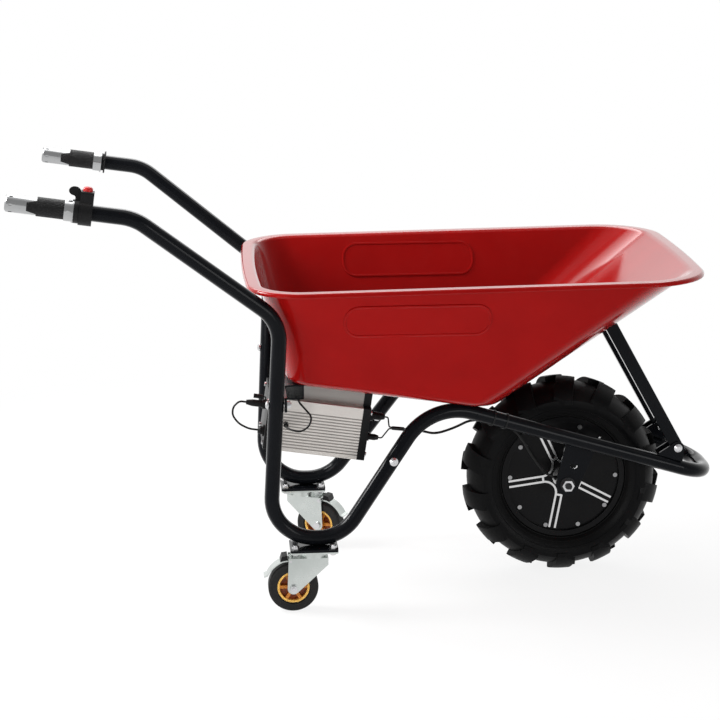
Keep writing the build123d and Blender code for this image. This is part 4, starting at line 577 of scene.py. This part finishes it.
# tray: one skin from under the floor up and over the rim, then given its wall; tilts are degrees about the Y axis,
# and lift is how far apart the flange and the lip are bridged, as a tall tube, before they are let down into place
traySettings = {
    "floorAt": (0.0268, 0.0, 0.4213), "floorTilt": 8.5, "floorSize": (0.432, 0.352), "floorBow": 0.010,
    "floorCorners": (0.060, 0.040), "floorRound": 0.017,
    "rimAt": (0.187, 0.0, 0.6695), "rimTilt": -0.7, "rimSize": (0.903, 0.644), "rimBow": 0.011,
    "rimCorners": (0.130, 0.109), "flange": 0.0258, "mouthRound": 0.006, "lipRound": 0.003,
    "roundSteps": 4, "lipSteps": 3, "wall": 0.0037, "lip": 0.0085, "wallCuts": 7, "lift": 0.3,
    "sharpFrom": 180.0,
}


def makeTrayShell(settings):
    wall, lift = settings["wall"], settings["lift"]
    floorTurn = Matrix.Translation(settings["floorAt"]) @ Matrix.Rotation(math.radians(settings["floorTilt"]), 4, "Y")
    rimTurn = Matrix.Translation(settings["rimAt"]) @ Matrix.Rotation(math.radians(settings["rimTilt"]), 4, "Y")
    rimLength, rimWidth = settings["rimSize"]
    shape = bmesh.new()

    def rimRing(inset, drop):
        corners = [corner - inset for corner in settings["rimCorners"]]
        place = rimTurn @ Matrix.Translation((0, 0, -drop))
        return addRing(shape, place, rimLength - 2 * inset, rimWidth - 2 * inset, settings["rimBow"], corners)

    floorRing = addRing(shape, floorTurn, *settings["floorSize"], settings["floorBow"], settings["floorCorners"])
    mouthRing = rimRing(settings["flange"], wall)
    edgeRing = rimRing(wall, wall - lift)
    lipRing = rimRing(wall, settings["lip"] - 2 * lift)
    bmesh.ops.edgeloop_fill(shape, edges=floorRing)
    sides = bmesh.ops.bridge_loops(shape, edges=floorRing + mouthRing)["edges"]
    bmesh.ops.bridge_loops(shape, edges=mouthRing + edgeRing)
    bmesh.ops.bridge_loops(shape, edges=edgeRing + lipRing)
    for ring, fall in ((edgeRing, lift), (lipRing, 2 * lift)):
        down = rimTurn.to_3x3() @ Vector((0, 0, -fall))
        bmesh.ops.translate(shape, vec=down, verts=once(vert for edge in ring for vert in edge.verts))
    bmesh.ops.subdivide_edges(shape, edges=sides, cuts=settings["wallCuts"], use_grid_fill=True)
    for ring, size, steps in ((floorRing, "floorRound", "roundSteps"), (mouthRing, "mouthRound", "roundSteps"),
                              (edgeRing, "lipRound", "lipSteps")):
        bmesh.ops.bevel(shape, geom=ring, offset=settings[size], segments=settings[steps], profile=0.5,
                        affect="EDGES", material=-1)
    bmesh.ops.recalc_face_normals(shape, faces=shape.faces)
    base = min(shape.faces, key=lambda face: face.calc_center_median().z)
    if base.normal.z > 0:
        bmesh.ops.reverse_faces(shape, faces=shape.faces)
    skin = BVHTree.FromBMesh(shape)
    shell = keepPiece(shape, "trayShell", "trayRed", "frame", settings["sharpFrom"])
    thick = shell.modifiers.new("wall", "SOLIDIFY")
    thick.thickness = wall
    thick.offset = -1.0
    thick.use_even_offset = True
    shell.modifiers.new("evenShade", "WEIGHTED_NORMAL")
    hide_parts("tray")
    return skin


# plain raised panel on each side wall, outside and in, with a ridge round its edge
panelSettings = {"rightCentre": (0.066, 0.597), "leftCentre": (0.1, 0.613), "size": (0.284, 0.068),
                 "corner": 0.030, "cornerSteps": 10, "pad": 0.0009, "sunk": 0.0006, "ridge": 0.0045,
                 "ridgeRise": 0.0013, "crestRound": 0.001, "crestSteps": 2, "crestAngle": 0.5, "sharpFrom": 20.0}


def makePanel(name, skin, centre, side, depth, facing, settings):
    shape = bmesh.new()
    start = bmesh.ops.create_grid(shape, x_segments=1, y_segments=1, size=0.5)["verts"]
    bmesh.ops.scale(shape, vec=(*settings["size"], 1.0), verts=start)
    bmesh.ops.bevel(shape, geom=start, offset=settings["corner"], segments=settings["cornerSteps"], profile=0.5,
                    affect="VERTICES", material=-1)
    raised = bmesh.ops.extrude_face_region(shape, geom=shape.faces[:])["geom"]
    top = [item for item in raised if isinstance(item, bmesh.types.BMFace)]
    lifted = [item for item in raised if isinstance(item, bmesh.types.BMVert)]
    bmesh.ops.translate(shape, vec=(0, 0, settings["pad"] + settings["sunk"]), verts=lifted)
    border = bmesh.ops.inset_region(shape, faces=top, thickness=settings["ridge"], use_even_offset=True)["faces"]
    ridge = bmesh.ops.extrude_face_region(shape, geom=border)["geom"]
    crest = [item for item in ridge if isinstance(item, bmesh.types.BMVert)]
    bmesh.ops.translate(shape, vec=(0, 0, settings["ridgeRise"]), verts=crest)
    bmesh.ops.delete(shape, geom=border, context="FACES_ONLY")
    crestEdges = [item for item in ridge if isinstance(item, bmesh.types.BMEdge) and len(item.link_faces) == 2
                  and item.calc_face_angle() > settings["crestAngle"]]
    bmesh.ops.bevel(shape, geom=crestEdges, offset=settings["crestRound"], segments=settings["crestSteps"],
                    profile=0.5, affect="EDGES", material=-1)
    along, height = centre
    for vert in shape.verts:
        origin = Vector((along + vert.co.x, side, height + vert.co.y))
        spot, normal = skin.ray_cast(origin, Vector((0, -side, 0)))[:2]
        outward = normal if normal.y * side > 0 else -normal
        vert.co = spot - outward * depth + outward * facing * (vert.co.z - settings["sunk"])
    bmesh.ops.recalc_face_normals(shape, faces=shape.faces)
    if shape.calc_volume(signed=True) < 0:  # a thin pad can come out turned inside out
        bmesh.ops.reverse_faces(shape, faces=shape.faces)
    keepPiece(shape, name, "trayRed", "frame", settings["sharpFrom"])


traySkin = makeTrayShell(traySettings)
for sideName, side in (("right", -1), ("left", 1)):
    centre = panelSettings[sideName + "Centre"]
    makePanel(sideName + "OuterPanel", traySkin, centre, side, 0.0, 1, panelSettings)
    makePanel(sideName + "InnerPanel", traySkin, centre, side, traySettings["wall"], -1, panelSettings)
print("tray and its panels made")


# raised rings moulded round both sidewalls of the drive tyre: distance out from the axle, half thickness
wallRingSettings = {"rings": ((0.1315, 0.0016), (0.1375, 0.0011), (0.1500, 0.0013)), "sunk": 0.0004, "steps": 120,
                    "sides": 8, "castFrom": 0.2, "sharpFrom": 60.0}


def makeWallRings(settings):
    centre = Vector(driveCentre)
    tyre = BVHTree.FromObject(cadNodes["tyre"], bpy.context.evaluated_depsgraph_get())
    shape = bmesh.new()
    for radius, half in settings["rings"]:
        for side in (-1, 1):
            outside = centre + Vector((radius, side * settings["castFrom"], 0))
            spot = tyre.ray_cast(outside, Vector((0, -side, 0)))[0]
            earlier = len(shape.verts)
            bmesh.ops.create_circle(shape, segments=settings["sides"], radius=half)
            section = list(shape.verts)[earlier:]
            bmesh.ops.translate(shape, vec=spot - Vector((0, side * settings["sunk"], 0)), verts=section)
            loop = once(edge for vert in section for edge in vert.link_edges)
            bmesh.ops.spin(shape, geom=section + loop, cent=centre, axis=(0, 1, 0), angle=2 * math.pi,
                           steps=settings["steps"], use_merge=True)
    bmesh.ops.recalc_face_normals(shape, faces=shape.faces)
    keepPiece(shape, "tyreWallRings", "tyreRubber", "drive_wheel", settings["sharpFrom"])


makeWallRings(wallRingSettings)
print("tyre rings made")


# floor: pale and matt near the barrow so that it keeps the shadow, plain white further out, dimmer in reflections
floorSettings = {"radius": 40.0, "steps": 96, "colour": (0.88, 0.88, 0.88, 1), "rough": 0.9,
                 "plainSpan": (0.6, 1.8), "nearWhite": 0.86, "mirrored": 0.85}


def seenDirectly(tree):  # 1 for rays that show the background, straight or in a reflection
    path = addNode(tree, "LightPath")
    seen = mathNode(tree, "MAXIMUM", path.outputs["Is Camera Ray"], path.outputs["Is Glossy Ray"])
    return mathNode(tree, "MAXIMUM", seen, path.outputs["Is Transmission Ray"])


def layFloor(settings):
    disc = bmesh.new()
    bmesh.ops.create_circle(disc, cap_ends=True, segments=settings["steps"], radius=settings["radius"])
    mesh = bpy.data.meshes.new("floor")
    disc.to_mesh(mesh)
    disc.free()
    floor = bpy.data.objects.new("floor", mesh)
    scene.collection.objects.link(floor)
    material, tree, shader, place = startFinish("floorPaper")
    shader.inputs["Base Color"].default_value = settings["colour"]
    shader.inputs["Roughness"].default_value = settings["rough"]
    shader.inputs["Specular IOR Level"].default_value = 0.0
    away = addNode(tree, "VectorMath", {0: place}, operation="LENGTH").outputs["Value"]
    plain = stretchRange(tree, away, *settings["plainSpan"], settings["nearWhite"], 1.0)
    straight = addNode(tree, "LightPath").outputs["Is Camera Ray"]
    white = mathNode(tree, "MAXIMUM", straight, settings["mirrored"])
    glow = addNode(tree, "Emission", {"Color": (1, 1, 1, 1), "Strength": white})
    factor = mathNode(tree, "MULTIPLY", plain, seenDirectly(tree))
    mixed = addNode(tree, "MixShader", {0: factor, 1: shader.outputs[0], 2: glow.outputs[0]})
    surface = next(node for node in tree.nodes if node.bl_idname == "ShaderNodeOutputMaterial")
    tree.links.new(mixed.outputs[0], surface.inputs[0])
    mesh.materials.append(material)


# world: plain white where it is seen, soft as a light; the room behind the camera is dimmer than the backdrop
worldSettings = {"strength": 0.35, "roomSpan": (-0.6, 0.3), "roomDim": 0.4}


def lightWorld(settings):
    world = bpy.data.worlds.new("studio")
    world.use_nodes = True
    tree = world.node_tree
    tree.nodes.clear()
    ahead = addNode(tree, "SeparateXYZ", {0: addNode(tree, "TexCoord").outputs["Generated"]}).outputs[1]
    room = stretchRange(tree, ahead, *settings["roomSpan"], settings["roomDim"], 1.0)
    straight = addNode(tree, "LightPath").outputs["Is Camera Ray"]
    plain = addNode(tree, "Background", {"Color": (1, 1, 1, 1), "Strength": mathNode(tree, "MAXIMUM", straight, room)})
    soft = addNode(tree, "Background", {"Color": (1, 1, 1, 1), "Strength": settings["strength"]})
    mixed = addNode(tree, "MixShader", {0: seenDirectly(tree), 1: soft.outputs[0], 2: plain.outputs[0]})
    surface = addNode(tree, "OutputWorld")
    tree.links.new(mixed.outputs[0], surface.inputs[0])
    scene.world = world


layFloor(floorSettings)
lightWorld(worldSettings)
print("floor and world set")
